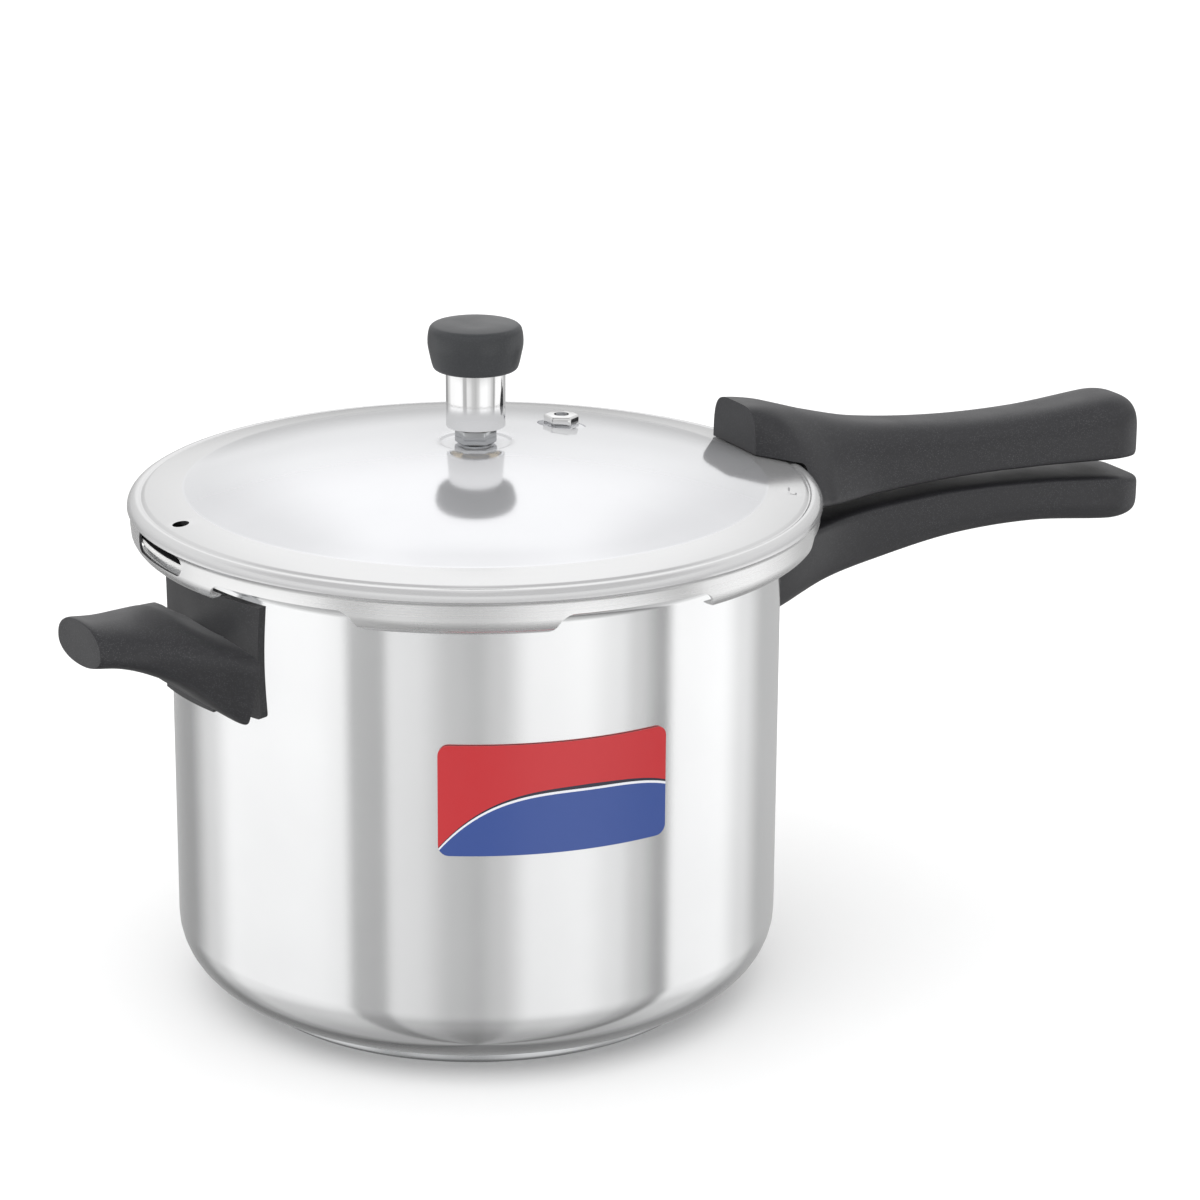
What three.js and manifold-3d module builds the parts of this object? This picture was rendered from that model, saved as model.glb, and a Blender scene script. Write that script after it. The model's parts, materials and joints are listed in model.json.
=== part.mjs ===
// Stovetop pressure cooker, outer-lid bayonet type, about five litres.
// Millimetres, +Z up, +X along the long handles.
// The origin is the centre of the flat underside of the base.
import * as THREE from 'three';
import { mergeVertices } from 'three/addons/utils/BufferGeometryUtils.js';
import Module from 'manifold-3d';

const wasm = await Module();
wasm.setup();

// ---- Driving dimensions ------------------------------------------------
const FIT = 0.35; // clear gap between pieces that rest on each other
const ROUND = 48; // facets round the pot, the lid and the sealing ring
const SMALL_ROUND = 14; // facets round screws, washers and tubes

const POT_R = 105;
const POT_WALL = 1.4;
const POT_CORNER_R = 22;
const POT_FLOOR_Z = 5;
const RIM_R = 109.4;
const RIM_Z = 168;
const RIM_T = 2.2;
const POT_LUG_R = 115.8;
const POT_LUG_DEG = 22;
const LUG_COUNT = 6;
const LUG_PITCH_DEG = 360 / LUG_COUNT;

const BASE_R = 83.5;
const BASE_SHEET = 0.8;

const LID_R = 119.1;
const LID_SHEET = 1.5;
const LID_SHOULDER_R = 3.2;
const LID_RING_OUT_Z = 177.6;
const LID_RING_IN_R = 100;
const LID_RING_IN_Z = 180;
const DOME_TOP_Z = 194.8;
const VENT_RECESS_R = 13.3;
const VENT_RECESS_DEPTH = 1.2;
const LIP_Z = 162.6;
const LIP_IN_R = 111.6;
const LIP_DEG = 33;
const SKIRT_GAP_Z = 168.2;
const WINDOW_LENGTH = 36;
const WINDOW_HEIGHT = 7.4;
const WINDOW_Z = 170.4;
const RING_HOLE_R = 2.8;
const RING_HOLE_AT = { radius: 108.2, deg: 178.8 };

const VALVE_AT = { x: 40, y: 13 };
const VALVE_SEAT_R = 8.5;
const VALVE_SEAT_Z = 190.8;

const TUBE_R = 4;
const TUBE_TOP_Z = 211.5;
const HEX_TOP_Z = 199.3;
const SLEEVE_R = 10.2;
const SLEEVE_Z = { low: 199.8, high: 219.4 };
const KNOB_R = 16.85;
const KNOB_Z = { low: 219.8, high: 236.2 };

const UPPER_END_X = 269.5;
const LOWER_END_X = 270.5;
const HELPER_END_X = 153;
const HELPER_DEG = 186; // the small handle's bearing round the pot
const FIN_DEG = 17;
const FLARE_HALF = 37.5;
const FIN_T = 3.2;
const FLARE_IN_R = 113;

const SCREW_R = 2;
const SCREW_HEAD_R = 4;

const LABEL = { from: -123.6, to: -80.8, low: 83.6, high: 121.6 };

// ---- Geometry helpers ---------------------------------------------------
const rad = THREE.MathUtils.degToRad;

/** Merge shared vertices, drop slivers and turn the faces outwards. */
function clean(geometry) {
  const bare = geometry.index ? geometry.toNonIndexed() : geometry.clone();
  bare.deleteAttribute('normal');
  bare.deleteAttribute('uv');
  const merged = mergeVertices(bare, 1e-4);
  const at = merged.attributes.position;
  const index = merged.index.array;
  const kept = [];
  let volume = 0;
  const a = new THREE.Vector3();
  const b = new THREE.Vector3();
  const c = new THREE.Vector3();
  for (let i = 0; i < index.length; i += 3) {
    const [p, q, r] = [index[i], index[i + 1], index[i + 2]];
    if (p === q || q === r || r === p) continue;
    kept.push(p, q, r);
    a.fromBufferAttribute(at, p);
    b.fromBufferAttribute(at, q);
    c.fromBufferAttribute(at, r);
    volume += a.dot(b.cross(c));
  }
  if (volume < 0) kept.reverse();
  merged.setIndex(kept);
  return merged;
}

/** A closed geometry as a solid that can be joined and cut. */
function solid(geometry) {
  const ready = clean(geometry);
  return new wasm.Manifold(new wasm.Mesh({
    numProp: 3,
    vertProperties: new Float32Array(ready.attributes.position.array),
    triVerts: new Uint32Array(ready.index.array),
  }));
}

/** A joined or cut solid as a geometry. */
function geometryOf(body) {
  const { vertProperties, triVerts, numProp } = body.getMesh();
  const at = new Float32Array((vertProperties.length / numProp) * 3);
  for (let i = 0; i < at.length / 3; i += 1) {
    for (let k = 0; k < 3; k += 1) at[3 * i + k] = vertProperties[numProp * i + k];
  }
  const geometry = new THREE.BufferGeometry();
  geometry.setAttribute('position', new THREE.BufferAttribute(at, 3));
  geometry.setIndex(Array.from(triVerts));
  return geometry;
}

/** Turn a profile of [radius, height] points about the Z axis. */
function turned(profile, facets = ROUND) {
  const points = profile.map(([r, z]) => new THREE.Vector2(r, z));
  return new THREE.LatheGeometry(points, facets).rotateX(Math.PI / 2);
}

/** A turned ring: its profile is closed on itself. */
function turnedRing(profile, facets = ROUND) {
  return turned([...profile, profile[0]], facets);
}

/** Points on an arc in a profile, from one angle to another in degrees. */
function arc(centreR, centreZ, radius, from, to, steps) {
  return Array.from({ length: steps + 1 }, (_, i) => {
    const angle = rad(from + ((to - from) * i) / steps);
    return [centreR + radius * Math.cos(angle), centreZ + radius * Math.sin(angle)];
  });
}

function rod(radius, low, high, facets = SMALL_ROUND) {
  return new THREE.CylinderGeometry(radius, radius, high - low, facets)
    .rotateX(Math.PI / 2)
    .translate(0, 0, (low + high) / 2);
}

function hexagon(acrossFlats, low, high) {
  return rod(acrossFlats / Math.sqrt(3), low, high, 6);
}

function washer(inner, outer, low, high) {
  return turnedRing([[inner, low], [outer, low], [outer, high], [inner, high]], SMALL_ROUND);
}

/** A hexagon nut with a plain bore. */
function nut(acrossFlats, bore, low, high) {
  return solid(hexagon(acrossFlats, low, high)).subtract(solid(rod(bore, low - 1, high + 1)));
}

function block(x0, x1, halfY, z0, z1) {
  return new THREE.BoxGeometry(x1 - x0, 2 * halfY, z1 - z0)
    .translate((x0 + x1) / 2, 0, (z0 + z1) / 2);
}

/** A piece of a flat ring, centred on an angle. */
function sector(inner, outer, centreDeg, widthDeg, low, high) {
  const from = rad(centreDeg - widthDeg / 2);
  const to = rad(centreDeg + widthDeg / 2);
  const shape = new THREE.Shape();
  shape.absarc(0, 0, outer, from, to, false);
  shape.absarc(0, 0, inner, to, from, true);
  const steps = Math.max(2, Math.ceil(widthDeg / 8));
  return new THREE.ExtrudeGeometry(shape, { depth: high - low, bevelEnabled: false, curveSegments: steps })
    .translate(0, 0, low);
}

/** A pan-head screw standing head down, with its tip up. */
function screwGeometry(headLow, tip) {
  return turned([
    [0, headLow],
    [SCREW_HEAD_R - 0.8, headLow],
    [SCREW_HEAD_R, headLow + 0.8],
    [SCREW_HEAD_R, headLow + 2.4],
    [SCREW_R, headLow + 2.4],
    [SCREW_R, tip - 1],
    [SCREW_R - 0.8, tip],
    [0, tip],
  ], 12);
}

/** Smooth value of one field between stations, along x. */
function along(stations, field, x) {
  const last = stations.length - 1;
  if (x <= stations[0].x) return stations[0][field];
  if (x >= stations[last].x) return stations[last][field];
  const i = stations.findIndex((s) => s.x > x) - 1;
  const slope = (k) => {
    const before = stations[Math.max(k - 1, 0)];
    const after = stations[Math.min(k + 1, last)];
    return (after[field] - before[field]) / (after.x - before.x);
  };
  const [s0, s1] = [stations[i], stations[i + 1]];
  const span = s1.x - s0.x;
  const t = (x - s0.x) / span;
  const t2 = t * t;
  const t3 = t2 * t;
  return (2 * t3 - 3 * t2 + 1) * s0[field]
    + (t3 - 2 * t2 + t) * span * slope(i)
    + (3 * t2 - 2 * t3) * s1[field]
    + (t3 - t2) * span * slope(i + 1);
}

/** A signed power, for a superellipse. */
function lobe(value, power) {
  return Math.abs(value) < 1e-6 ? 0 : Math.sign(value) * Math.abs(value) ** power;
}

const MID = 0.4; // the level between a grip's flat side and its crowned side

/**
 * A moulded grip along x. Each station gives the crowned side's half width and
 * height, and the flat side's half width and height. Higher powers give squarer
 * corners, droop lowers the crown towards its sides, and the far end is rounded
 * off over endRound.
 */
function moulding(stations, { facets, rings, flare, endRound, endTaper }) {
  const first = stations[0].x;
  const end = stations[stations.length - 1].x;
  const geometry = new THREE.CylinderGeometry(1, 1, 1, facets, rings).rotateZ(-Math.PI / 2);
  const at = geometry.attributes.position;
  for (let i = 0; i < at.count; i += 1) {
    const t = at.getX(i) + 0.5;
    const x = first + (end - first) * (1.35 * t - 0.35 * t ** 3.9);
    const flat = along(stations, 'flat', x);
    const crown = along(stations, 'crown', x);
    const past = Math.min(1, Math.max(0, (x - (end - endRound)) / endRound));
    const taper = 1 - endTaper * (1 - Math.sqrt(1 - past ** 2));
    const centre = Math.hypot(at.getY(i), at.getZ(i)) < 0.5;
    const angle = Math.atan2(at.getZ(i), at.getY(i));
    const power = 2 / along(stations, Math.sin(angle) > 0 ? 'crownPower' : 'flatPower', x);
    const side = centre ? 0 : lobe(Math.cos(angle), power);
    const rise = centre ? 0 : lobe(Math.sin(angle), power);
    const height = rise > 0 ? MID + (1 - MID) * rise : MID + MID * rise;
    const spread = along(stations, 'flatHalf', x) - along(stations, 'crownHalf', x);
    const wide = along(stations, 'crownHalf', x) + spread * (1 - height) ** flare;
    const level = MID + (height - MID) * (rise > 0 ? taper : 1);
    const droop = along(stations, 'droop', x) * side ** 2 * height;
    at.setXYZ(i, x, side * wide * taper, flat + (crown - flat) * level - droop);
  }
  return geometry;
}

function material(color, roughness, metalness) {
  return new THREE.MeshStandardMaterial({ color, roughness, metalness });
}

const finish = {
  steel: () => material(0xc9cbcd, 0.18, 1),
  satinSteel: () => material(0xb4b6b8, 0.4, 1),
  aluminium: () => material(0xbfc2c4, 0.45, 1),
  brass: () => material(0xb08d4a, 0.4, 1),
  alloy: () => material(0x8d9093, 0.5, 1),
  phenolic: () => material(0x26272a, 0.55, 0),
  paleSilicone: () => material(0xcfccc4, 0.6, 0),
  silicone: () => material(0x8a8d8f, 0.6, 0),
  label: () => material(0xc4242c, 0.35, 0),
};

const cooker = new THREE.Group();

/** Add one named piece, from a geometry or a cut solid. */
function add(name, shape, finishOf) {
  const geometry = shape.isBufferGeometry ? clean(shape) : geometryOf(shape);
  const mesh = new THREE.Mesh(geometry, finishOf());
  mesh.name = name;
  cooker.add(mesh);
}

// ---- Pot ------------------------------------------------------------------
function potShell() {
  const cornerR = POT_R - POT_CORNER_R;
  const cornerZ = POT_FLOOR_Z + POT_CORNER_R;
  const wallIn = POT_R - POT_WALL;
  const flareZ = RIM_Z - RIM_T - 2.5;
  const wall = turned([
    [0, POT_FLOOR_Z],
    ...arc(cornerR, cornerZ, POT_CORNER_R, -90, 0, 5),
    [POT_R, flareZ],
    [RIM_R - 2.2, RIM_Z - RIM_T],
    [RIM_R, RIM_Z - RIM_T],
    [RIM_R, RIM_Z],
    [wallIn + 1.6, RIM_Z],
    [wallIn, RIM_Z - 2.4],
    ...arc(cornerR, cornerZ, POT_CORNER_R - POT_WALL, 0, -90, 4),
    [0, POT_FLOOR_Z + POT_WALL],
  ]);
  let body = solid(wall);
  for (let i = 0; i < LUG_COUNT; i += 1) {
    const lug = sector(RIM_R - 2, POT_LUG_R, i * LUG_PITCH_DEG, POT_LUG_DEG, RIM_Z - RIM_T, RIM_Z);
    body = body.add(solid(lug));
  }
  return body;
}

function baseCap() {
  const rimTop = POT_FLOOR_Z - FIT;
  return turned([
    [0, 0],
    [BASE_R - 0.8, 0],
    [BASE_R, 0.8],
    [BASE_R, rimTop],
    [BASE_R - BASE_SHEET, rimTop],
    [BASE_R - BASE_SHEET, BASE_SHEET],
    [0, BASE_SHEET],
  ]);
}

function baseCore() {
  const edge = BASE_R - BASE_SHEET - FIT;
  const low = BASE_SHEET + FIT;
  return turned([[0, low], [edge, low], [edge, POT_FLOOR_Z - FIT], [0, POT_FLOOR_Z - FIT]]);
}

function labelSheet() {
  const centre = (LABEL.from + LABEL.to) / 2;
  return sector(POT_R + 0.3, POT_R + 0.7, centre, LABEL.to - LABEL.from, LABEL.low, LABEL.high);
}

// ---- Lid ------------------------------------------------------------------
function atValve(geometry) {
  return geometry.translate(VALVE_AT.x, VALVE_AT.y, 0);
}

function domeZ(r) {
  const k = Math.min(1, r / LID_RING_IN_R);
  return LID_RING_IN_Z + (DOME_TOP_Z - LID_RING_IN_Z) * (1 - k * k);
}

function lidOutside() {
  const crown = [85, 65, 45, 25].map((r) => [r, domeZ(r)]).reverse();
  return [
    [VENT_RECESS_R - 2, DOME_TOP_Z - VENT_RECESS_DEPTH],
    [VENT_RECESS_R, domeZ(VENT_RECESS_R)],
    ...crown,
    [LID_RING_IN_R, LID_RING_IN_Z],
    ...arc(LID_R - LID_SHOULDER_R, LID_RING_OUT_Z - LID_SHOULDER_R, LID_SHOULDER_R, 90, 0, 3),
  ];
}

function lidShell() {
  const hole = TUBE_R + 1.2;
  const outside = lidOutside();
  const inside = outside.map(([r, z]) => [r >= LID_R - 2 ? r - LID_SHEET : r, z - LID_SHEET]).reverse();
  const profile = [
    [hole, DOME_TOP_Z - VENT_RECESS_DEPTH],
    ...outside,
    [LID_R, LIP_Z + 1.4],
    [LID_R - 1.4, LIP_Z],
    [LIP_IN_R, LIP_Z],
    [LIP_IN_R, LIP_Z + LID_SHEET],
    [LID_R - LID_SHEET, LIP_Z + LID_SHEET + 0.6],
    ...inside,
    [hole, DOME_TOP_Z - VENT_RECESS_DEPTH - LID_SHEET],
  ];
  let body = solid(turnedRing(profile));
  const cup = solid(atValve(rod(VALVE_SEAT_R + 1.5, VALVE_SEAT_Z - LID_SHEET, DOME_TOP_Z, SMALL_ROUND)));
  const underDome = turned([
    [0, LID_RING_IN_Z],
    [LID_RING_IN_R, LID_RING_IN_Z],
    ...[85, 65, 45, 25, VENT_RECESS_R].map((r) => [r, domeZ(r)]),
    [0, domeZ(VENT_RECESS_R)],
  ]);
  body = body.add(cup.intersect(solid(underDome)));
  body = body.subtract(solid(atValve(rod(VALVE_SEAT_R, VALVE_SEAT_Z, DOME_TOP_Z + 1, SMALL_ROUND))));
  body = body.subtract(solid(atValve(rod(4.7, VALVE_SEAT_Z - 5, VALVE_SEAT_Z + 5))));
  const gapDeg = LUG_PITCH_DEG - LIP_DEG;
  for (let i = 0; i < LUG_COUNT; i += 1) {
    const centre = (i + 0.5) * LUG_PITCH_DEG;
    const gap = sector(LIP_IN_R - 4, LID_R + 4, centre, gapDeg, LIP_Z - 4, SKIRT_GAP_Z);
    body = body.subtract(solid(gap));
  }
  return body.subtract(solid(windowCutter())).subtract(solid(ringHoleCutter()));
}

/** The long rounded window through the skirt, opposite the handle. */
function windowCutter() {
  const half = (WINDOW_LENGTH - WINDOW_HEIGHT) / 2;
  const shape = new THREE.Shape();
  shape.absarc(half, 0, WINDOW_HEIGHT / 2, -Math.PI / 2, Math.PI / 2, false);
  shape.absarc(-half, 0, WINDOW_HEIGHT / 2, Math.PI / 2, (3 * Math.PI) / 2, false);
  return new THREE.ExtrudeGeometry(shape, { depth: 12, bevelEnabled: false, curveSegments: 5 })
    .rotateX(Math.PI / 2)
    .rotateZ(Math.PI / 2)
    .translate(-LID_R - 7, 0, WINDOW_Z);
}

function ringHoleCutter() {
  const angle = rad(RING_HOLE_AT.deg);
  return rod(RING_HOLE_R, LID_RING_OUT_Z - 6, LID_RING_IN_Z + 2, 12)
    .translate(RING_HOLE_AT.radius * Math.cos(angle), RING_HOLE_AT.radius * Math.sin(angle), 0);
}

/** The silicone ring that closes the joint between the rim and the lid. */
function sealingRing() {
  const low = RIM_Z + FIT;
  const outer = LID_R - LID_SHEET - FIT;
  return turnedRing([
    [106.2, low],
    [outer - 1, low],
    [outer - 0.4, low + 0.6],
    [outer - 0.4, low + 2.6],
    [outer - 1, low + 3.2],
    [112.6, low + 3.2],
    [112.6, low + 6.8],
    [108.4, low + 6.8],
    [108.4, low + 2.4],
    [106.2, low + 2.4],
  ]);
}

// ---- Vent tube and safety valve --------------------------------------------
const VENT_SEAT_Z = DOME_TOP_Z - VENT_RECESS_DEPTH;
const VENT_UNDER_Z = VENT_SEAT_Z - LID_SHEET;

function ventTube() {
  const stem = turned([
    [0, VENT_UNDER_Z - 9],
    [TUBE_R + 0.8, VENT_UNDER_Z - 9],
    [TUBE_R + 0.8, VENT_SEAT_Z + 2],
    [TUBE_R, HEX_TOP_Z],
    [TUBE_R, TUBE_TOP_Z - 2],
    [TUBE_R - 0.9, TUBE_TOP_Z],
    [0, TUBE_TOP_Z],
  ], SMALL_ROUND);
  return solid(stem)
    .add(solid(hexagon(12.7, VENT_SEAT_Z + FIT, HEX_TOP_Z)))
    .subtract(solid(rod(1.7, VENT_UNDER_Z - 12, TUBE_TOP_Z + 2, 12)));
}

function valveBody() {
  const top = VALVE_SEAT_Z + 5;
  const stem = rod(4.3, VALVE_SEAT_Z - 8.5, VALVE_SEAT_Z + 2);
  const body = solid(atValve(stem)).add(solid(atValve(hexagon(11, VALVE_SEAT_Z + FIT, top))));
  return body.subtract(solid(atValve(rod(2.6, VALVE_SEAT_Z - 12, top + 2, 12))));
}

// ---- Pressure weight ---------------------------------------------------------
function weightCore() {
  return turned([
    [5, 202],
    [8.7, 202],
    [8.7, 219.1],
    [2.8, 219.1],
    [2.8, 216.4],
    [1.9, 215.8],
    [1.9, 213],
    [5, 213],
    [5, 205.6],
    [5.8, 205.6],
    [5.8, 203.6],
    [5, 203.6],
    [5, 202],
  ], SMALL_ROUND);
}

function weightNeedle() {
  return turned([
    [0, TUBE_TOP_Z - 3],
    [1.3, TUBE_TOP_Z - 0.2],
    [1.3, TUBE_TOP_Z + FIT],
    [3.2, TUBE_TOP_Z + FIT],
    [3.2, TUBE_TOP_Z + 1.1],
    [1.5, TUBE_TOP_Z + 1.1],
    [1.5, 215.4],
    [0, 215.4],
  ], SMALL_ROUND);
}

function weightKnob() {
  return turned([
    [0, 230.6],
    [2.8, 230.6],
    [2.8, KNOB_Z.low],
    [13.9, KNOB_Z.low],
    [14.9, KNOB_Z.low + 0.8],
    [KNOB_R - 0.9, 225.2],
    [KNOB_R, 229],
    [KNOB_R, 230],
    [KNOB_R - 0.9, 232.8],
    [KNOB_R - 3, 235],
    [KNOB_R - 6, KNOB_Z.high - 0.3],
    [0, KNOB_Z.high],
  ], 24);
}

// ---- Handles -------------------------------------------------------------------
const LONG_GRIP = { facets: 18, rings: 20, flare: 0.8, endRound: 12, endTaper: 0.3 };

/** One station of a long grip. */
function longStation(x, crown, flat, crownHalf, flatHalf, crownPower = 3) {
  return { x, crown, flat, crownHalf, flatHalf, crownPower, flatPower: 8, droop: 0 };
}

const UPPER = [
  longStation(102.6, 196, 161, 14.6, 15, 4.5),
  longStation(107, 195.6, 161, 15, 22, 4),
  longStation(114, 194.4, 161, 15.4, 33, 3.4),
  longStation(121, 192.4, 161, 15.4, 33),
  longStation(134, 188.4, 158.6, 15.4, 24),
  longStation(155, 183.4, 158.6, 14.8, 17),
  longStation(190, 179.6, 159.8, 14.2, 15),
  longStation(225, 178.8, 159.3, 14.6, 15.2),
  longStation(256, 180.6, 158, 16.2, 16.4),
  longStation(UPPER_END_X, 181.6, 157.6, 16.2, 16.4),
];

const LOWER = [
  longStation(98, 116, 151.6, 24, 33),
  longStation(112, 119, 152, 20, 30),
  longStation(134, 126.8, 153.2, 16.4, 20.5),
  longStation(155, 131.2, 154.4, 15, 16.4),
  longStation(190, 136.4, 155.6, 14.2, 15),
  longStation(225, 137, 154.4, 14.6, 15.2),
  longStation(258, 133.6, 151.8, 16.4, 16.4),
  longStation(LOWER_END_X, 133, 150, 16.2, 16.4),
];

const UPPER_TONGUE = { low: 168.6, high: 171.6, end: 152, half: 8 };
const UPPER_SCREWS_X = [129, 144];
const LOWER_TONGUE = { low: 140, high: 143, end: 150, half: 8 };
const LOWER_SCREW_X = 138;
const HELPER_TONGUE = { low: 144, high: 147, end: 136, half: 8 };
const HELPER_SCREW_X = 125;

/** The space the lid takes up, which the upper handle is moulded round. */
function lidEnvelope() {
  const out = LID_R + 0.9;
  return turned([
    [0, 150],
    [out, 150],
    [out, LID_RING_OUT_Z - 2.2],
    [out - 2.6, LID_RING_OUT_Z + FIT],
    [LID_RING_IN_R, LID_RING_IN_Z + FIT],
    [0, LID_RING_IN_Z + FIT],
  ]);
}

/** Bore, head pocket and tongue slot, all cut along one screw. */
function screwBore(x, mouth, seat, tip) {
  const bore = solid(rod(SCREW_R + 0.4, mouth, tip + 0.8, 12));
  const pocket = solid(rod(SCREW_HEAD_R + 1, mouth, seat, 12));
  return bore.add(pocket).translate([x, 0, 0]);
}

function upperHandle() {
  const tongue = UPPER_TONGUE;
  let body = solid(moulding(UPPER, LONG_GRIP)).subtract(solid(lidEnvelope()));
  const slot = block(LID_R - 2, tongue.end + 1, tongue.half + 0.4, tongue.low - 0.4, tongue.high + 0.4);
  const plateRoom = block(LID_R - 2, LID_R + 3.4, 10.5, 160, 176.4);
  body = body.subtract(solid(slot)).subtract(solid(plateRoom));
  for (const x of UPPER_SCREWS_X) body = body.subtract(screwBore(x, 150, 163.4, 175));
  return body;
}

function lowerHandle() {
  const tongue = LOWER_TONGUE;
  const wall = rod(POT_R + 0.4, 100, 170, ROUND);
  let body = solid(moulding(LOWER, LONG_GRIP)).subtract(solid(wall));
  const slot = block(POT_R - 2, tongue.end + 1, tongue.half + 0.4, tongue.low - 0.4, tongue.high + 0.4);
  const plateRoom = block(POT_R - 2, POT_R + 3.4, 10.5, 127.6, 150.4);
  body = body.subtract(solid(slot)).subtract(solid(plateRoom));
  return body.subtract(screwBore(LOWER_SCREW_X, 110, 133.4, 147));
}

/** A welded plate with a tongue that runs out into a handle. */
function bracket(wallX, tongue, plateLow, plateHigh, screwXs) {
  const plate = block(wallX, wallX + 2, 10, plateLow, plateHigh);
  let body = solid(plate);
  body = body.add(solid(block(wallX + 1, tongue.end, tongue.half, tongue.low, tongue.high)));
  for (const x of screwXs) {
    const hole = rod(SCREW_R + 0.35, tongue.low - 1, tongue.high + 1, 12);
    body = body.subtract(solid(hole.translate(x, 0, 0)));
  }
  return body;
}

/** One station of the small handle's grip and flare, measured out from the axis. */
function helperStation(x, crown, flat, crownHalf, flatHalf, power, droop) {
  return { x, crown, flat, crownHalf, flatHalf, crownPower: power, flatPower: power, droop };
}

const HELPER = [
  helperStation(98, 149, 117, 39, 33, 11, 4),
  helperStation(106, 149.8, 118.9, 38.2, 32, 11, 4),
  helperStation(114, 151.6, 124.4, 35.6, 29, 9, 5),
  helperStation(123, 154.8, 131.8, 29.5, 24, 4.5, 6.5),
  helperStation(133, 155.4, 137.2, 22.6, 19.4, 3, 3),
  helperStation(143, 155.9, 140.6, 18.2, 16.6, 2.4, 1),
  helperStation(HELPER_END_X, 157.2, 142, 16, 15, 2.2, 0),
];

function helperHandle() {
  const grip = moulding(HELPER, { facets: 24, rings: 12, flare: 1, endRound: 2, endTaper: 0.05 });
  const inside = rod(FLARE_IN_R, 100, 170, ROUND);
  const beyond = block(90, HELPER_END_X + 20, FLARE_HALF, 100, 170);
  const flare = solid(grip).subtract(solid(inside)).intersect(solid(beyond));
  const fin = sector(POT_R + 0.4, POT_R + 0.4 + FIN_T, 0, 2 * FIN_DEG, 122.6, 161);
  const web = sector(POT_R + 1.4, FLARE_IN_R + 1, 0, 16, 122.5, 147.4);
  const tongue = HELPER_TONGUE;
  const slot = block(POT_R - 2, tongue.end + 1, tongue.half + 0.4, tongue.low - 0.4, tongue.high + 0.4);
  const plateRoom = block(POT_R - 2, POT_R + 2.8, 10.5, 127.6, 150.4);
  return flare.add(solid(fin)).add(solid(web))
    .subtract(solid(slot))
    .subtract(solid(plateRoom))
    .subtract(screwBore(HELPER_SCREW_X, 110, 138, 151.4))
    .rotate([0, 0, HELPER_DEG]);
}

// ---- Assembly --------------------------------------------------------------------
add('pot_shell', potShell(), finish.steel);
add('base_core', baseCore(), finish.aluminium);
add('base_cap', baseCap(), finish.satinSteel);
add('front_label', labelSheet(), finish.label);

const bodyBracket = bracket(POT_R + 0.35, LOWER_TONGUE, 128, 150, [LOWER_SCREW_X]);
add('body_handle_bracket', bodyBracket, finish.satinSteel);
add('body_handle', lowerHandle(), finish.phenolic);
add('body_handle_screw', screwGeometry(129.6, 146).translate(LOWER_SCREW_X, 0, 0), finish.satinSteel);
const bodyWasher = washer(SCREW_R + 0.35, 4.6, 132.35, 133.05).translate(LOWER_SCREW_X, 0, 0);
add('body_handle_washer', bodyWasher, finish.satinSteel);

const helperBracket = bracket(POT_R + 0.35, HELPER_TONGUE, 128, 150, [HELPER_SCREW_X])
  .rotate([0, 0, HELPER_DEG]);
add('helper_handle_bracket', helperBracket, finish.satinSteel);
add('helper_handle', helperHandle(), finish.phenolic);
const atHelper = (geometry) => geometry.translate(HELPER_SCREW_X, 0, 0).rotateZ(rad(HELPER_DEG));
add('helper_handle_screw', atHelper(screwGeometry(134, 150.6)), finish.satinSteel);
add('helper_handle_washer', atHelper(washer(SCREW_R + 0.35, 4.6, 136.75, 137.6)), finish.satinSteel);

add('sealing_ring', sealingRing(), finish.paleSilicone);

add('lid_shell', lidShell(), finish.steel);
add('lid_handle_bracket', bracket(LID_R + 0.35, UPPER_TONGUE, 165, 176, UPPER_SCREWS_X), finish.satinSteel);
add('lid_handle', upperHandle(), finish.phenolic);
UPPER_SCREWS_X.forEach((x, i) => {
  add(`lid_handle_screw_${i + 1}`, screwGeometry(159.6, 174).translate(x, 0, 0), finish.satinSteel);
  const lidWasher = washer(SCREW_R + 0.35, 4.6, 162.35, 163.05).translate(x, 0, 0);
  add(`lid_handle_washer_${i + 1}`, lidWasher, finish.satinSteel);
});

add('vent_tube', ventTube(), finish.steel);
add('vent_tube_washer', washer(5.2, 9, VENT_UNDER_Z - 1.9, VENT_UNDER_Z - FIT), finish.silicone);
add('vent_tube_nut', nut(15, 5.2, VENT_UNDER_Z - 7.4, VENT_UNDER_Z - 2.2), finish.satinSteel);

const VALVE_UNDER_Z = VALVE_SEAT_Z - LID_SHEET;
add('safety_valve_body', valveBody(), finish.steel);
add('safety_valve_fuse', atValve(rod(2.2, VALVE_SEAT_Z - 5, VALVE_SEAT_Z + 4.2, 12)), finish.alloy);
const valveWasher = atValve(washer(4.65, 8, VALVE_UNDER_Z - 1.75, VALVE_UNDER_Z - FIT));
add('safety_valve_washer', valveWasher, finish.silicone);
const valveNut = nut(12, 4.65, VALVE_UNDER_Z - 6, VALVE_UNDER_Z - 2.1).translate([VALVE_AT.x, VALVE_AT.y, 0]);
add('safety_valve_nut', valveNut, finish.satinSteel);

add('weight_needle', weightNeedle(), finish.steel);
add('weight_core', weightCore(), finish.brass);
const sleeveIn = SLEEVE_R - 1.1;
add('weight_sleeve', turnedRing([
  [sleeveIn, SLEEVE_Z.low],
  [SLEEVE_R - 0.5, SLEEVE_Z.low],
  [SLEEVE_R, SLEEVE_Z.low + 0.7],
  [SLEEVE_R, SLEEVE_Z.high],
  [sleeveIn, SLEEVE_Z.high],
], 24), finish.steel);
add('weight_clip', washer(4.4, 5.4, 204, 205.2), finish.satinSteel);
add('weight_stud', rod(2.4, 216.8, 230.2, 12), finish.satinSteel);
add('weight_knob', weightKnob(), finish.phenolic);

export default cooker;
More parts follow.
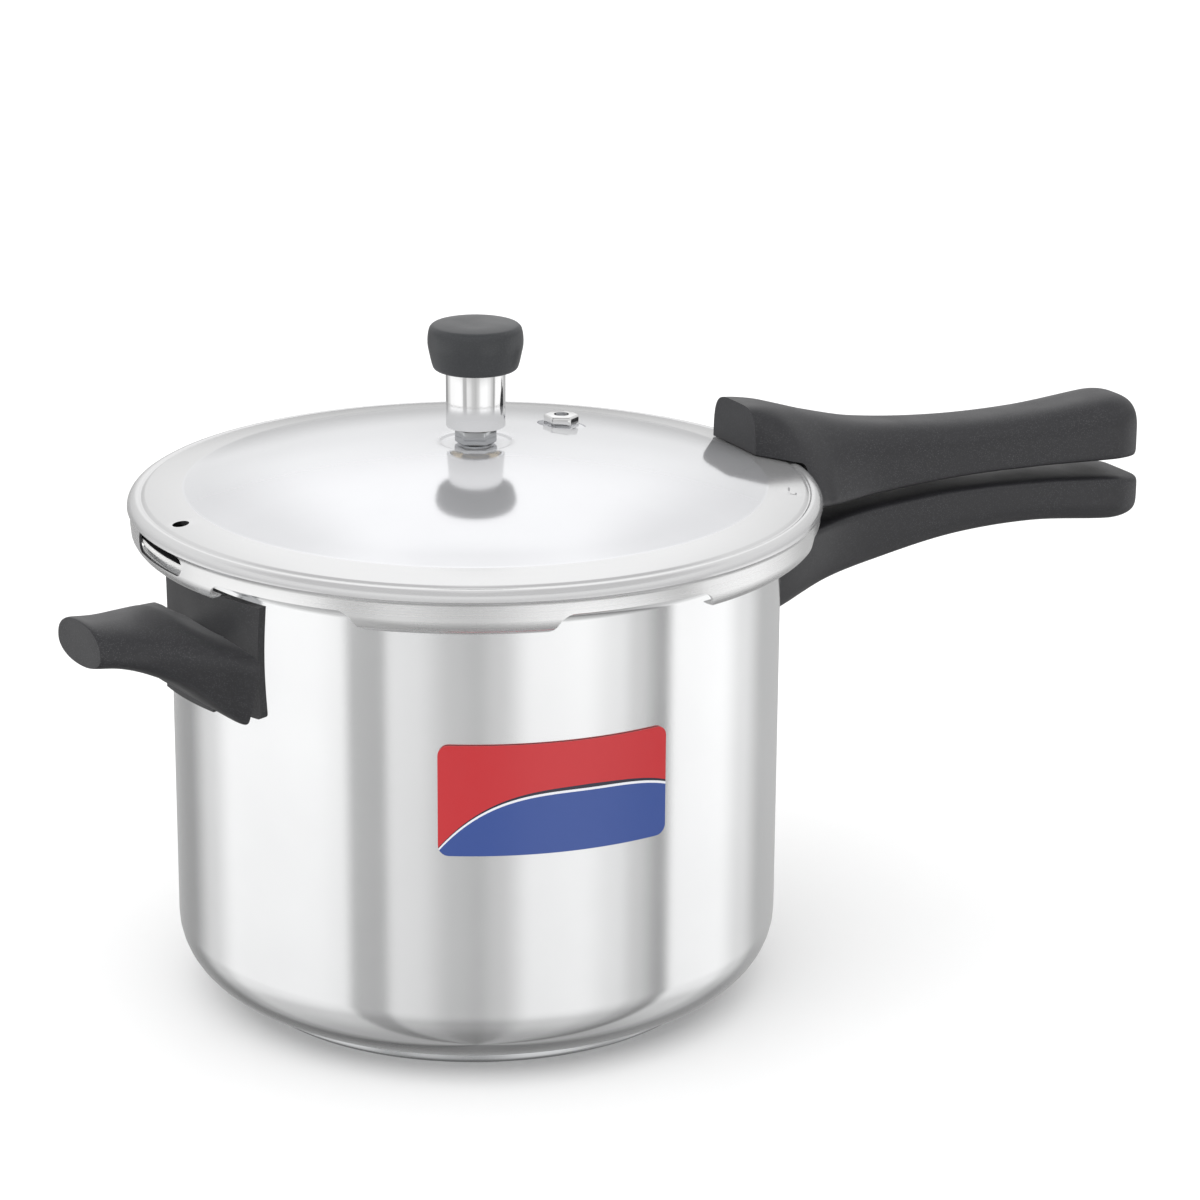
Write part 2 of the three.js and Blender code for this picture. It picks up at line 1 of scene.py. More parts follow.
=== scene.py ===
"""Finished look of a stovetop pressure cooker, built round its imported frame.

Lengths inside the builders are millimetres; a piece is brought to metres when it is placed.
"""

import json
import logging
import math
from dataclasses import dataclass, field
from enum import Enum

import bmesh
import bpy
from mathutils import Matrix, Vector

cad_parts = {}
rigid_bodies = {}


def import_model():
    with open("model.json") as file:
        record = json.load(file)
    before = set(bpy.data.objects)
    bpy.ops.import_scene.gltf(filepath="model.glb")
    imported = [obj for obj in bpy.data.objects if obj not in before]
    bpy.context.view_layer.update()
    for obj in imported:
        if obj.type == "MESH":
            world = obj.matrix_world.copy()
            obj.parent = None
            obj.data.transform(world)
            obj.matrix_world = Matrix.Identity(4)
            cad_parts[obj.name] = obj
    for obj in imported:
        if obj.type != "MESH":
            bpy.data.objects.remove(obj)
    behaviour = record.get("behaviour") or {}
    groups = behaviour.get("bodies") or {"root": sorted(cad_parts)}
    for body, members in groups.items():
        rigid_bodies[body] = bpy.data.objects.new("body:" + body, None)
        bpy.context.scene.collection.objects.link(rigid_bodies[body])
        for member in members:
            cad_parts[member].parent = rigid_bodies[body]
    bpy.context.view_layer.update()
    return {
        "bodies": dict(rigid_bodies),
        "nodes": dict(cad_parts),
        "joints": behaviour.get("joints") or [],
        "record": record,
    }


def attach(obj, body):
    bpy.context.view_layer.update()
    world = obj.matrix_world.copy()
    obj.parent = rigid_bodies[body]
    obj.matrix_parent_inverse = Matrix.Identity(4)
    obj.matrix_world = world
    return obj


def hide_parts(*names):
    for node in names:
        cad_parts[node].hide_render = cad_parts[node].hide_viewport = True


LOG = logging.getLogger("pressure_cooker")
MILLIMETRE = 0.001
FULL_TURN = 2.0 * math.pi

Mesh = bmesh.types.BMesh
Triple = tuple[float, float, float]
Station = tuple[float, float, float, float, float, float, float, float]
ORIGIN: Triple = (0.0, 0.0, 0.0)


# ---------------------------------------------------------------- choices


class Join(Enum):
    """The ways in which one solid is combined with another."""

    CUT = "DIFFERENCE"
    ADD = "UNION"
    KEEP_SHARED = "INTERSECT"


class Grain(Enum):
    """How the fine polishing marks of a metal run."""

    ROUND_THE_AXIS = "round"
    ALL_WAYS = "all"


class Body(Enum):
    """The moving bodies of the cooker."""

    POT = "pot"
    SEAL = "seal"
    LID = "lid"
    NEEDLE = "needle"
    WEIGHT = "weight"


# ---------------------------------------------------------------- shader helper


class ShaderDesk:
    """Adds and links the nodes of one material."""

    def __init__(self, name: str) -> None:
        """Start an empty material.

        Args:
            name: The material's name.
        """
        self.material = bpy.data.materials.new(name)
        self.material.use_nodes = True
        self.tree = self.material.node_tree
        self.tree.nodes.clear()
        self.shader = self.add("ShaderNodeBsdfPrincipled")
        output = self.add("ShaderNodeOutputMaterial")
        self.tree.links.new(self.shader.outputs["BSDF"], output.inputs["Surface"])

    def add(self, kind: str, **settings: object) -> bpy.types.Node:
        """Add a node and set its plain settings.

        Args:
            kind: The node's type name.
            **settings: Attributes to set on the node.

        Returns:
            The new node.
        """
        node = self.tree.nodes.new(kind)
        for key, value in settings.items():
            setattr(node, key, value)
        return node

    def feed(self, socket: bpy.types.NodeSocket, value: object) -> None:
        """Link a socket to an output, or set its value.

        Args:
            socket: The input to feed.
            value: Another node's output, or a number or colour.
        """
        if isinstance(value, bpy.types.NodeSocket):
            self.tree.links.new(value, socket)
        else:
            socket.default_value = value

    def math(self, operation: str, *values: object) -> bpy.types.NodeSocket:
        """Add a Math node.

        Args:
            operation: The Math node's operation.
            *values: Its inputs, as outputs of other nodes or numbers.

        Returns:
            The node's result.
        """
        node = self.add("ShaderNodeMath", operation=operation)
        for socket, value in zip(node.inputs, values):
            self.feed(socket, value)
        return node.outputs[0]

    def place(self) -> bpy.types.NodeSocket:
        """Return the object coordinates."""
        return self.add("ShaderNodeTexCoord").outputs["Object"]

    def stretched(self, scale: Triple) -> bpy.types.NodeSocket:
        """Return the object coordinates, scaled along each axis.

        Args:
            scale: Factors along X, Y and Z.

        Returns:
            The scaled coordinates.
        """
        mapping = self.add("ShaderNodeMapping")
        self.feed(mapping.inputs["Vector"], self.place())
        mapping.inputs["Scale"].default_value = scale
        return mapping.outputs["Vector"]

    def noise(self, place: bpy.types.NodeSocket, scale: float, detail: float = 3.0) -> bpy.types.NodeSocket:
        """Add a noise pattern.

        Args:
            place: The coordinates it reads.
            scale: Its scale, per metre.
            detail: Its octaves.

        Returns:
            The noise, from 0 to 1.
        """
        node = self.add("ShaderNodeTexNoise")
        self.feed(node.inputs["Vector"], place)
        node.inputs["Scale"].default_value = scale
        node.inputs["Detail"].default_value = detail
        return node.outputs["Fac"]

    def between(self, value: bpy.types.NodeSocket, low: float, high: float) -> bpy.types.NodeSocket:
        """Stretch a 0 to 1 pattern to a range.

        Args:
            value: The pattern.
            low: The result at 0.3 and below.
            high: The result at 0.7 and above.

        Returns:
            The stretched value.
        """
        node = self.add("ShaderNodeMapRange")
        self.feed(node.inputs["Value"], value)
        for name, number in (("From Min", 0.3), ("From Max", 0.7), ("To Min", low), ("To Max", high)):
            node.inputs[name].default_value = number
        return node.outputs["Result"]

    def blend(self, factor: object, first: object, second: object) -> bpy.types.NodeSocket:
        """Mix two colours.

        Args:
            factor: 0 for the first colour, 1 for the second.
            first: A colour or an output.
            second: A colour or an output.

        Returns:
            The mixed colour.
        """
        node = self.add("ShaderNodeMix", data_type="RGBA")
        self.feed(node.inputs["Factor"], factor)
        self.feed(node.inputs["A"], first)
        self.feed(node.inputs["B"], second)
        return node.outputs["Result"]

    def emboss(self, height: bpy.types.NodeSocket, strength: float, distance: float) -> None:
        """Drive the surface's bump.

        Args:
            height: The height pattern.
            strength: How strongly it shows.
            distance: Its depth in metres.
        """
        bump = self.add("ShaderNodeBump")
        bump.inputs["Strength"].default_value = strength
        bump.inputs["Distance"].default_value = distance
        self.feed(bump.inputs["Height"], height)
        self.feed(self.shader.inputs["Normal"], bump.outputs["Normal"])


# ---------------------------------------------------------------- finishes


@dataclass(frozen=True)
class MetalFinish:
    """A metal with fine marks, smudges and a touch of haze."""

    name: str
    color: Triple
    smooth: float
    rough: float
    metallic: float = 1.0
    grain: Grain = Grain.ALL_WAYS
    mark_depth: float = 0.02

    def made(self) -> bpy.types.Material:
        """Return the finished material."""
        desk = ShaderDesk(self.name)
        smudge = desk.noise(desk.place(), 22.0, 4.0)
        if self.grain is Grain.ROUND_THE_AXIS:
            split = desk.add("ShaderNodeSeparateXYZ")
            desk.feed(split.inputs[0], desk.place())
            square = desk.math("ADD", desk.math("POWER", split.outputs["X"], 2.0),
                               desk.math("POWER", split.outputs["Y"], 2.0))
            rings = desk.add("ShaderNodeCombineXYZ")
            desk.feed(rings.inputs["X"], desk.math("SQRT", square))
            desk.feed(rings.inputs["Z"], split.outputs["Z"])
            marks = desk.noise(rings.outputs[0], 1500.0, 2.0)
        else:
            marks = desk.noise(desk.place(), 900.0, 2.0)
        duller = (*(0.96 * channel for channel in self.color), 1.0)
        tone = desk.blend(desk.between(smudge, 0.0, 1.0), duller, (*self.color, 1.0))
        desk.feed(desk.shader.inputs["Base Color"], tone)
        desk.feed(desk.shader.inputs["Metallic"], self.metallic)
        polish = desk.math("ADD", desk.between(smudge, self.smooth, self.rough),
                           desk.between(marks, 0.0, 0.25 * self.smooth))
        desk.feed(desk.shader.inputs["Roughness"], polish)
        desk.emboss(marks, self.mark_depth, 0.0002)
        return desk.material


@dataclass(frozen=True)
class MouldedFinish:
    """A dark moulded plastic or rubber with a fine speckle and skin."""

    name: str
    color: Triple
    speckle: Triple
    rough: float
    skin: float = 0.12
    speckle_share: float = 0.35

    def made(self) -> bpy.types.Material:
        """Return the finished material."""
        desk = ShaderDesk(self.name)
        cells = desk.add("ShaderNodeTexVoronoi")
        desk.feed(cells.inputs["Vector"], desk.place())
        cells.inputs["Scale"].default_value = 2000.0
        grains = desk.math("LESS_THAN", cells.outputs["Distance"], self.speckle_share)
        cloud = desk.noise(desk.place(), 55.0, 4.0)
        dusty = desk.math("MULTIPLY", grains, desk.between(cloud, 0.25, 1.0))
        desk.feed(desk.shader.inputs["Base Color"],
                  desk.blend(dusty, (*self.color, 1.0), (*self.speckle, 1.0)))
        desk.feed(desk.shader.inputs["Roughness"], desk.between(cloud, self.rough - 0.05, self.rough + 0.06))
        desk.emboss(desk.noise(desk.place(), 1500.0, 2.0), self.skin, 0.0003)
        return desk.material


@dataclass(frozen=True)
class PrintedFilm:
    """The printed label: red above a blue swell, with a pale line between them."""

    name: str
    start_deg: float
    sweep_deg: float
    low: float
    high: float
    red: Triple = (0.50, 0.014, 0.020)
    blue: Triple = (0.026, 0.066, 0.27)

    def made(self) -> bpy.types.Material:
        """Return the finished material."""
        desk = ShaderDesk(self.name)
        split = desk.add("ShaderNodeSeparateXYZ")
        desk.feed(split.inputs[0], desk.place())
        bearing = desk.math("ARCTAN2", split.outputs["Y"], split.outputs["X"])
        along = desk.math("DIVIDE", desk.math("SUBTRACT", bearing, math.radians(self.start_deg)),
                          math.radians(self.sweep_deg))
        height = (self.high - self.low) * MILLIMETRE
        up = desk.math("DIVIDE", desk.math("SUBTRACT", split.outputs["Z"], self.low * MILLIMETRE), height)
        offset = desk.math("ABSOLUTE", desk.math("DIVIDE", desk.math("SUBTRACT", along, 0.64), 0.64))
        crest = desk.math("SUBTRACT", 0.56, desk.math("MULTIPLY", desk.math("POWER", offset, 3.2), 0.5))
        over = desk.math("SUBTRACT", up, crest)
        is_red = desk.math("GREATER_THAN", over, 0.0)
        print_color = desk.blend(is_red, (*self.blue, 1.0), (*self.red, 1.0))
        thickness = desk.math("SUBTRACT", 0.034, desk.math("MULTIPLY", offset, 0.026))
        shade = desk.math("MULTIPLY", is_red, desk.math("LESS_THAN", over, thickness))
        shaded = desk.blend(shade, print_color, (0.012, 0.012, 0.03, 1.0))
        pale_low = desk.math("LESS_THAN", over, 0.0)
        pale_high = desk.math("GREATER_THAN", over, -0.022)
        pale = desk.math("MULTIPLY", pale_low, pale_high)
        ink = desk.noise(desk.place(), 260.0, 2.0)
        desk.feed(desk.shader.inputs["Base Color"], desk.blend(pale, shaded, (0.75, 0.76, 0.8, 1.0)))
        desk.feed(desk.shader.inputs["Roughness"], desk.between(ink, 0.28, 0.36))
        desk.shader.inputs["Coat Weight"].default_value = 0.25
        desk.shader.inputs["Coat Roughness"].default_value = 0.12
        desk.emboss(ink, 0.03, 0.0002)
        return desk.material


POT_MIRROR = MetalFinish("pot_mirror_steel", (0.95, 0.955, 0.96), 0.07, 0.11, 0.94)
LID_MIRROR = MetalFinish("lid_hazy_steel", (0.83, 0.835, 0.855), 0.08, 0.12, 0.68, Grain.ROUND_THE_AXIS)
RING_MIRROR = MetalFinish("lid_ring_steel", (0.77, 0.77, 0.775), 0.12, 0.17, 0.74, Grain.ROUND_THE_AXIS)
SKIRT_STEEL = MetalFinish("lid_skirt_steel", (0.88, 0.88, 0.88), 0.20, 0.26, 0.86, Grain.ROUND_THE_AXIS)
CHROME = MetalFinish("weight_chrome", (0.93, 0.93, 0.93), 0.05, 0.08)
SATIN = MetalFinish("satin_steel", (0.66, 0.67, 0.68), 0.28, 0.38, 1.0, Grain.ALL_WAYS, 0.06)
BASE_SATIN = MetalFinish("base_satin_steel", (0.70, 0.71, 0.72), 0.2, 0.3, 1.0, Grain.ROUND_THE_AXIS, 0.08)
ALUMINIUM = MetalFinish("core_aluminium", (0.72, 0.73, 0.74), 0.38, 0.48)
BRASS = MetalFinish("turned_brass", (0.62, 0.47, 0.24), 0.24, 0.34, 1.0, Grain.ROUND_THE_AXIS, 0.08)
FUSE_ALLOY = MetalFinish("fuse_alloy", (0.52, 0.53, 0.55), 0.36, 0.48)
VENT_STEEL = MetalFinish("vent_steel", (0.52, 0.53, 0.54), 0.10, 0.16)
GRIP_BLACK = MouldedFinish("grip_phenolic", (0.021, 0.021, 0.0235), (0.095, 0.095, 0.102), 0.40, 0.10, 0.24)
KNOB_BLACK = MouldedFinish("knob_phenolic", (0.034, 0.036, 0.039), (0.05, 0.052, 0.056), 0.36, 0.05)
SEAL_PALE = MouldedFinish("seal_silicone", (0.93, 0.93, 0.92), (0.90, 0.90, 0.89), 0.45, 0.08)
# near-black finish for the seal's upper faces: painted shade for the dark cavity behind the lid's window
PAINTED_SHADE_SEAL_TOP = MouldedFinish("seal_top_painted_shade", (0.020, 0.020, 0.022), (0.03, 0.03, 0.032), 0.6, 0.05)
# dark finish for the punched walls of the lid's window and small hole: painted shade, not a blackened edge
PAINTED_SHADE_CUT_EDGE = MetalFinish("punched_edge_painted_shade", (0.09, 0.09, 0.095), 0.30, 0.40)
SILICONE = MouldedFinish("washer_silicone", (0.27, 0.28, 0.29), (0.36, 0.37, 0.38), 0.5, 0.1)


# ---------------------------------------------------------------- shape helpers


def recalculated(mesh: Mesh) -> Mesh:
    """Merge doubles, turn the faces outwards and return the same mesh.

    Args:
        mesh: The mesh to tidy.

    Returns:
        The tidied mesh.
    """
    bmesh.ops.remove_doubles(mesh, verts=mesh.verts[:], dist=1e-4)
    bmesh.ops.recalc_face_normals(mesh, faces=mesh.faces[:])
    return mesh


def drawn_section(points: list[Triple], closed: bool) -> Mesh:
    """Draw a half section in the XZ plane, with its corners rounded.

    Args:
        points: Radius, height and corner rounding of each corner.
        closed: Whether the last corner joins the first.

    Returns:
        A mesh of edges only.
    """
    mesh = bmesh.new()
    verts = [mesh.verts.new((radius, 0.0, height)) for radius, height, _ in points]
    for first, second in zip(verts, verts[1:]):
        mesh.edges.new((first, second))
    if closed:
        mesh.edges.new((verts[-1], verts[0]))
    for vert, (_, _, rounding) in zip(verts, points):
        if rounding > 0.0:
            bmesh.ops.bevel(mesh, geom=[vert], offset=rounding, offset_type="OFFSET",
                            segments=max(3, min(10, int(2.5 + rounding))), profile=0.5,
                            affect="VERTICES", material=-1, clamp_overlap=True)
    return mesh


def lathed(points: list[Triple], steps: int = 192, closed: bool = False) -> Mesh:
    """Turn a half section about the Z axis.

    Args:
        points: Radius, height and corner rounding of each corner.
        steps: Steps of the full turn.
        closed: Whether the section is closed on itself.

    Returns:
        The turned mesh.
    """
    mesh = drawn_section(points, closed)
    bmesh.ops.spin(mesh, geom=mesh.verts[:] + mesh.edges[:], cent=ORIGIN, axis=(0.0, 0.0, 1.0),
                   dvec=(0.0, 0.0, 0.0), angle=FULL_TURN, steps=steps, use_merge=True, use_duplicate=False)
    return recalculated(mesh)


def tipped(mesh: Mesh, axis: str) -> None:
    """Turn a mesh a quarter turn about one of the axes."""
    bmesh.ops.rotate(mesh, cent=ORIGIN, matrix=Matrix.Rotation(math.pi / 2.0, 3, axis), verts=mesh.verts[:])


def only_verts(parts: list) -> list[bmesh.types.BMVert]:
    """Return the vertices among the parts that an operator made."""
    return [part for part in parts if isinstance(part, bmesh.types.BMVert)]


def round_bar(radius: float, low: float, high: float, segments: int) -> Mesh:
    """Make a plain upright cylinder on the axis.

    Args:
        radius: Its radius.
        low: Its lowest height.
        high: Its highest height.
        segments: Facets round it.

    Returns:
        The cylinder.
    """
    mesh = bmesh.new()
    bmesh.ops.create_cone(mesh, cap_ends=True, cap_tris=False, segments=segments, radius1=radius,
                          radius2=radius, depth=high - low)
    bmesh.ops.translate(mesh, vec=(0.0, 0.0, (low + high) / 2.0), verts=mesh.verts[:])
    return mesh


def turned_rod(radius: float, low: float, high: float, steps: int, ease_low: float = 0.0,
               ease_high: float = 0.0) -> Mesh:
    """Turn a plain rod on the axis.

    Args:
        radius: Its radius.
        low: Its lowest height.
        high: Its highest height.
        steps: Facets round it.
        ease_low: Rounding of the lower edge.
        ease_high: Rounding of the upper edge.

    Returns:
        The rod.
    """
    section = [(0.0, low, 0.0), (radius, low, ease_low), (radius, high, ease_high), (0.0, high, 0.0)]
    return lathed(section, steps=steps)


def swept_block(inner: float, outer: float, low: float, high: float, start: float, sweep: float,
                steps: int = 24) -> Mesh:
    """Sweep a square section about the Z axis.

    Args:
        inner: Inner radius.
        outer: Outer radius.
        low: Lowest height.
        high: Highest height.
        start: Starting bearing in degrees.
        sweep: Sweep in degrees.
        steps: Steps of the sweep.

    Returns:
        A closed piece of a ring.
    """
    mesh = bmesh.new()
    corners = [mesh.verts.new((radius, 0.0, height))
               for radius, height in ((inner, low), (outer, low), (outer, high), (inner, high))]
    face = mesh.faces.new(corners)
    to_start = Matrix.Rotation(math.radians(start), 3, "Z")
    bmesh.ops.rotate(mesh, cent=ORIGIN, matrix=to_start, verts=mesh.verts[:])
    whole = [face, *face.edges, *face.verts]
    bmesh.ops.spin(mesh, geom=whole, cent=ORIGIN, axis=(0.0, 0.0, 1.0), dvec=ORIGIN,
                   angle=math.radians(sweep), steps=steps, use_merge=False, use_duplicate=False)
    lids = [edge for edge in mesh.edges if edge.is_boundary]
    if lids:
        bmesh.ops.holes_fill(mesh, edges=lids, sides=4)
    return recalculated(mesh)


def upright_block(size: Triple, centre: Triple,
                  soften: float = 0.0) -> Mesh:
    """Make a block with softened edges, used to cut or join.

    Args:
        size: Lengths along X, Y and Z.
        centre: Its centre.
        soften: Radius of the edges.

    Returns:
        The block.
    """
    mesh = bmesh.new()
    bmesh.ops.create_cube(mesh, size=1.0)
    bmesh.ops.scale(mesh, vec=size, verts=mesh.verts[:])
    if soften > 0.0:
        bmesh.ops.bevel(mesh, geom=mesh.edges[:], offset=soften, offset_type="OFFSET", segments=3,
                        profile=0.5, affect="EDGES", material=-1, clamp_overlap=True)
    bmesh.ops.translate(mesh, vec=centre, verts=mesh.verts[:])
    return mesh


def hexagon_head(across_flats: float, low: float, high: float, chamfer: float = 0.6) -> Mesh:
    """Make a hexagon with chamfered edges.

    Args:
        across_flats: Width across the flats.
        low: Underside height.
        high: Top height.
        chamfer: Chamfer width.

    Returns:
        The hexagon.
    """
    mesh = bmesh.new()
    radius = across_flats / math.sqrt(3.0)
    bmesh.ops.create_cone(mesh, cap_ends=True, cap_tris=False, segments=6, radius1=radius, radius2=radius,
                          depth=high - low)
    bmesh.ops.bevel(mesh, geom=mesh.edges[:], offset=chamfer, offset_type="OFFSET", segments=3, profile=0.5,
                    affect="EDGES", material=-1, clamp_overlap=True)
    bmesh.ops.translate(mesh, vec=(0.0, 0.0, (low + high) / 2.0), verts=mesh.verts[:])
    return mesh


def moved(mesh: Mesh, by: Triple, turn_deg: float = 0.0) -> Mesh:
    """Shift a mesh, then turn it about the Z axis.

    Args:
        mesh: The mesh to move.
        by: The shift.
        turn_deg: The turn in degrees.

    Returns:
        The same mesh.
    """
    bmesh.ops.translate(mesh, vec=by, verts=mesh.verts[:])
    bmesh.ops.rotate(mesh, cent=ORIGIN, matrix=Matrix.Rotation(math.radians(turn_deg), 3, "Z"),
                     verts=mesh.verts[:])
    return mesh


def combined(first: Mesh, second: Mesh, join: Join) -> Mesh:
    """Join or cut one solid with another.

    Args:
        first: The solid that is kept. It is freed.
        second: The tool. It is freed.
        join: What to do with the two.

    Returns:
        The resulting solid.
    """
    holders = []
    for mesh in (first, second):
        data = bpy.data.meshes.new("workpiece")
        mesh.to_mesh(data)
        mesh.free()
        holder = bpy.data.objects.new("workpiece", data)
        bpy.context.scene.collection.objects.link(holder)
        holders.append(holder)
    work, tool = holders
    modifier = work.modifiers.new("join", "BOOLEAN")
    modifier.operation = join.value
    modifier.solver = "EXACT"
    modifier.object = tool
    graph = bpy.context.evaluated_depsgraph_get()
    result = bmesh.new()
    result.from_mesh(work.evaluated_get(graph).to_mesh())
    for holder in holders:
        data = holder.data
        bpy.data.objects.remove(holder)
        bpy.data.meshes.remove(data)
    bmesh.ops.remove_doubles(result, verts=result.verts[:], dist=1e-4)
    return result


# ---------------------------------------------------------------- placing pieces


@dataclass
class SubAssembly:
    """Common ways of placing and dressing finished pieces."""

    frame: dict
    finishes: dict[str, bpy.types.Material] = field(default_factory=dict)

    def dressed(self, finish: MetalFinish | MouldedFinish | PrintedFilm) -> bpy.types.Material:
        """Return a finish's material, made once.

        Args:
            finish: The finish wanted.

        Returns:
            Its material.
        """
        if finish.name not in self.finishes:
            self.finishes[finish.name] = finish.made()
        return self.finishes[finish.name]

    def placed(self, name: str, mesh: Mesh, body: Body, slot: str,
               finish: MetalFinish | MouldedFinish | PrintedFilm, *nodes: str,
               crease_deg: float = 32.0, edge: float = 0.0) -> bpy.types.Object:
        """Turn a mesh into a finished piece on a moving body.

        Args:
            name: The piece's name.
            mesh: Its mesh, in millimetres. It is freed.
            body: The body that it rides on.
            slot: The name of a material slot; not used.
            finish: Its surface finish.
            *nodes: The frame's nodes that it stands for.
            crease_deg: Sharper edges than this stay crisp.
            edge: Width of a live bevel on crisp edges, in millimetres.

        Returns:
            The piece.
        """
        bmesh.ops.scale(mesh, vec=(MILLIMETRE,) * 3, verts=mesh.verts[:])
        data = bpy.data.meshes.new(name)
        mesh.to_mesh(data)
        mesh.free()
        data.shade_smooth()
        data.set_sharp_from_angle(angle=math.radians(crease_deg))
        piece = bpy.data.objects.new(name, data)
        bpy.context.scene.collection.objects.link(piece)
        data.materials.append(self.dressed(finish))
        if edge > 0.0:
            bevel = piece.modifiers.new("soft_edges", "BEVEL")
            bevel.width = edge * MILLIMETRE
            bevel.segments = 2
            bevel.limit_method = "ANGLE"
            bevel.angle_limit = math.radians(crease_deg)
            bevel.harden_normals = False
        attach(piece, body.value)
        if nodes:
            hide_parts(*nodes)
        LOG.info("placed %s on %s: %d faces", name, body.value, len(data.polygons))
        return piece

    def kept(self, node: str, finish: MetalFinish | MouldedFinish) -> None:
        """Give a node of the frame its finish.

        Args:
            node: The node's name.
            finish: Its surface finish.
        """
        data = self.frame["nodes"][node].data
        data.materials.clear()
        data.materials.append(self.dressed(finish))
        LOG.info("kept %s", node)


# ---------------------------------------------------------------- pot


@dataclass
class PotBody(SubAssembly):
    """The drawn pot, its two-layer base and its front label."""

    radius: float = 105.0
    wall: float = 1.4
    corner: float = 22.0
    floor: float = 5.0
    rim_radius: float = 109.4
    rim_height: float = 168.0
    rim_thickness: float = 2.2
    lug_radius: float = 115.8
    lug_half_deg: int = 11
    base_radius: float = 83.5
    label_span: tuple[float, float, float, float] = (-123.6, 42.8, 83.6, 121.6)

    def shell(self) -> Mesh:
        """Return the pot's wall with its rim and lugs."""
        inside = self.radius - self.wall
        under_rim = self.rim_height - self.rim_thickness
        mesh = lathed([
            (0.0, self.floor, 0.0),
            (self.radius, self.floor, self.corner),
            (self.radius, under_rim - 2.4, 1.5),
            (self.rim_radius - 2.4, under_rim, 0.8),
            (self.rim_radius, under_rim, 0.0),
            (self.rim_radius, self.rim_height, 0.0),
            (inside + 1.6, self.rim_height, 0.8),
            (inside, self.rim_height - 2.4, 1.2),
            (inside, self.floor + self.wall, self.corner - self.wall),
            (0.0, self.floor + self.wall, 0.0),
        ], steps=360)
        outer = [face for face in mesh.faces if self.in_a_lug(face)]
        grown = bmesh.ops.extrude_face_region(mesh, geom=outer)["geom"]
        verts = [item for item in grown if isinstance(item, bmesh.types.BMVert)]
        reach = self.lug_radius / self.rim_radius
        bmesh.ops.scale(mesh, vec=(reach, reach, 1.0), verts=verts)
        bmesh.ops.delete(mesh, geom=[face for face in outer if face.is_valid], context="FACES_ONLY")
        return recalculated(mesh)

    def in_a_lug(self, face: bmesh.types.BMFace) -> bool:
        """Say whether a face is on the rim's edge inside a lug.

        Args:
            face: A face of the shell.

        Returns:
            True for a face that a lug grows from.
        """
        centre = face.calc_center_median()
        on_edge = math.hypot(centre.x, centre.y) > self.rim_radius - 0.05
        bearing = (math.degrees(math.atan2(centre.y, centre.x)) + 30.0) % 60.0 - 30.0
        return on_edge and abs(bearing) < self.lug_half_deg

    def base_cap(self) -> Mesh:
        """Return the pressed cap under the base."""
        top = self.floor - 0.35
        inner = self.base_radius - 0.8
        return lathed([
            (0.0, 0.0, 0.0), (self.base_radius - 1.2, 0.0, 0.3), (self.base_radius, 1.2, 0.5),
            (self.base_radius, top, 0.25), (inner, top, 0.2), (inner, 0.8, 0.3), (0.0, 0.8, 0.0),
        ], steps=240)

    def label(self) -> Mesh:
        """Return the label: a film with rounded corners, bent to the wall."""
        start, sweep, low, high = self.label_span
        around = self.radius + 0.3
        length = around * math.radians(sweep)
        mesh = bmesh.new()
        bmesh.ops.create_grid(mesh, x_segments=1, y_segments=1, size=0.5)
        bmesh.ops.scale(mesh, vec=(length, high - low, 1.0), verts=mesh.verts[:])
        bmesh.ops.bevel(mesh, geom=mesh.verts[:], offset=3.6, offset_type="OFFSET", segments=8, profile=0.5,
                        affect="VERTICES", material=-1, clamp_overlap=True)
        for slice_at in range(1, 48):
            place = length * (slice_at / 48.0 - 0.5)
            bmesh.ops.bisect_plane(mesh, geom=mesh.verts[:] + mesh.edges[:] + mesh.faces[:],
                                   plane_co=(place, 0.0, 0.0), plane_no=(1.0, 0.0, 0.0))
        tipped(mesh, "X")
        bmesh.ops.translate(mesh, vec=(length / 2.0, around, (low + high) / 2.0), verts=mesh.verts[:])
        shell = bmesh.ops.extrude_face_region(mesh, geom=mesh.faces[:])["geom"]
        bmesh.ops.translate(mesh, vec=(0.0, 0.4, 0.0), verts=only_verts(shell))
        for vert in mesh.verts:
            angle = vert.co.x / around
            radius = vert.co.y
            vert.co = Vector((radius * math.cos(angle), radius * math.sin(angle), vert.co.z))
        recalculated(mesh)
        return moved(mesh, (0.0, 0.0, 0.0), start)

    def build(self) -> None:
        """Build and dress the pot."""
        self.placed("pot_wall", self.shell(), Body.POT, "polished_steel", POT_MIRROR, "pot_shell", edge=0.35)
        self.placed("pot_base_cap", self.base_cap(), Body.POT, "satin_steel", BASE_SATIN, "base_cap")
        start, sweep, low, high = self.label_span
        film = PrintedFilm("label_print", start, sweep, low, high)
        self.placed("pot_label", self.label(), Body.POT, "printed_label", film, "front_label")
        self.kept("base_core", ALUMINIUM)


# ---------------------------------------------------------------- lid


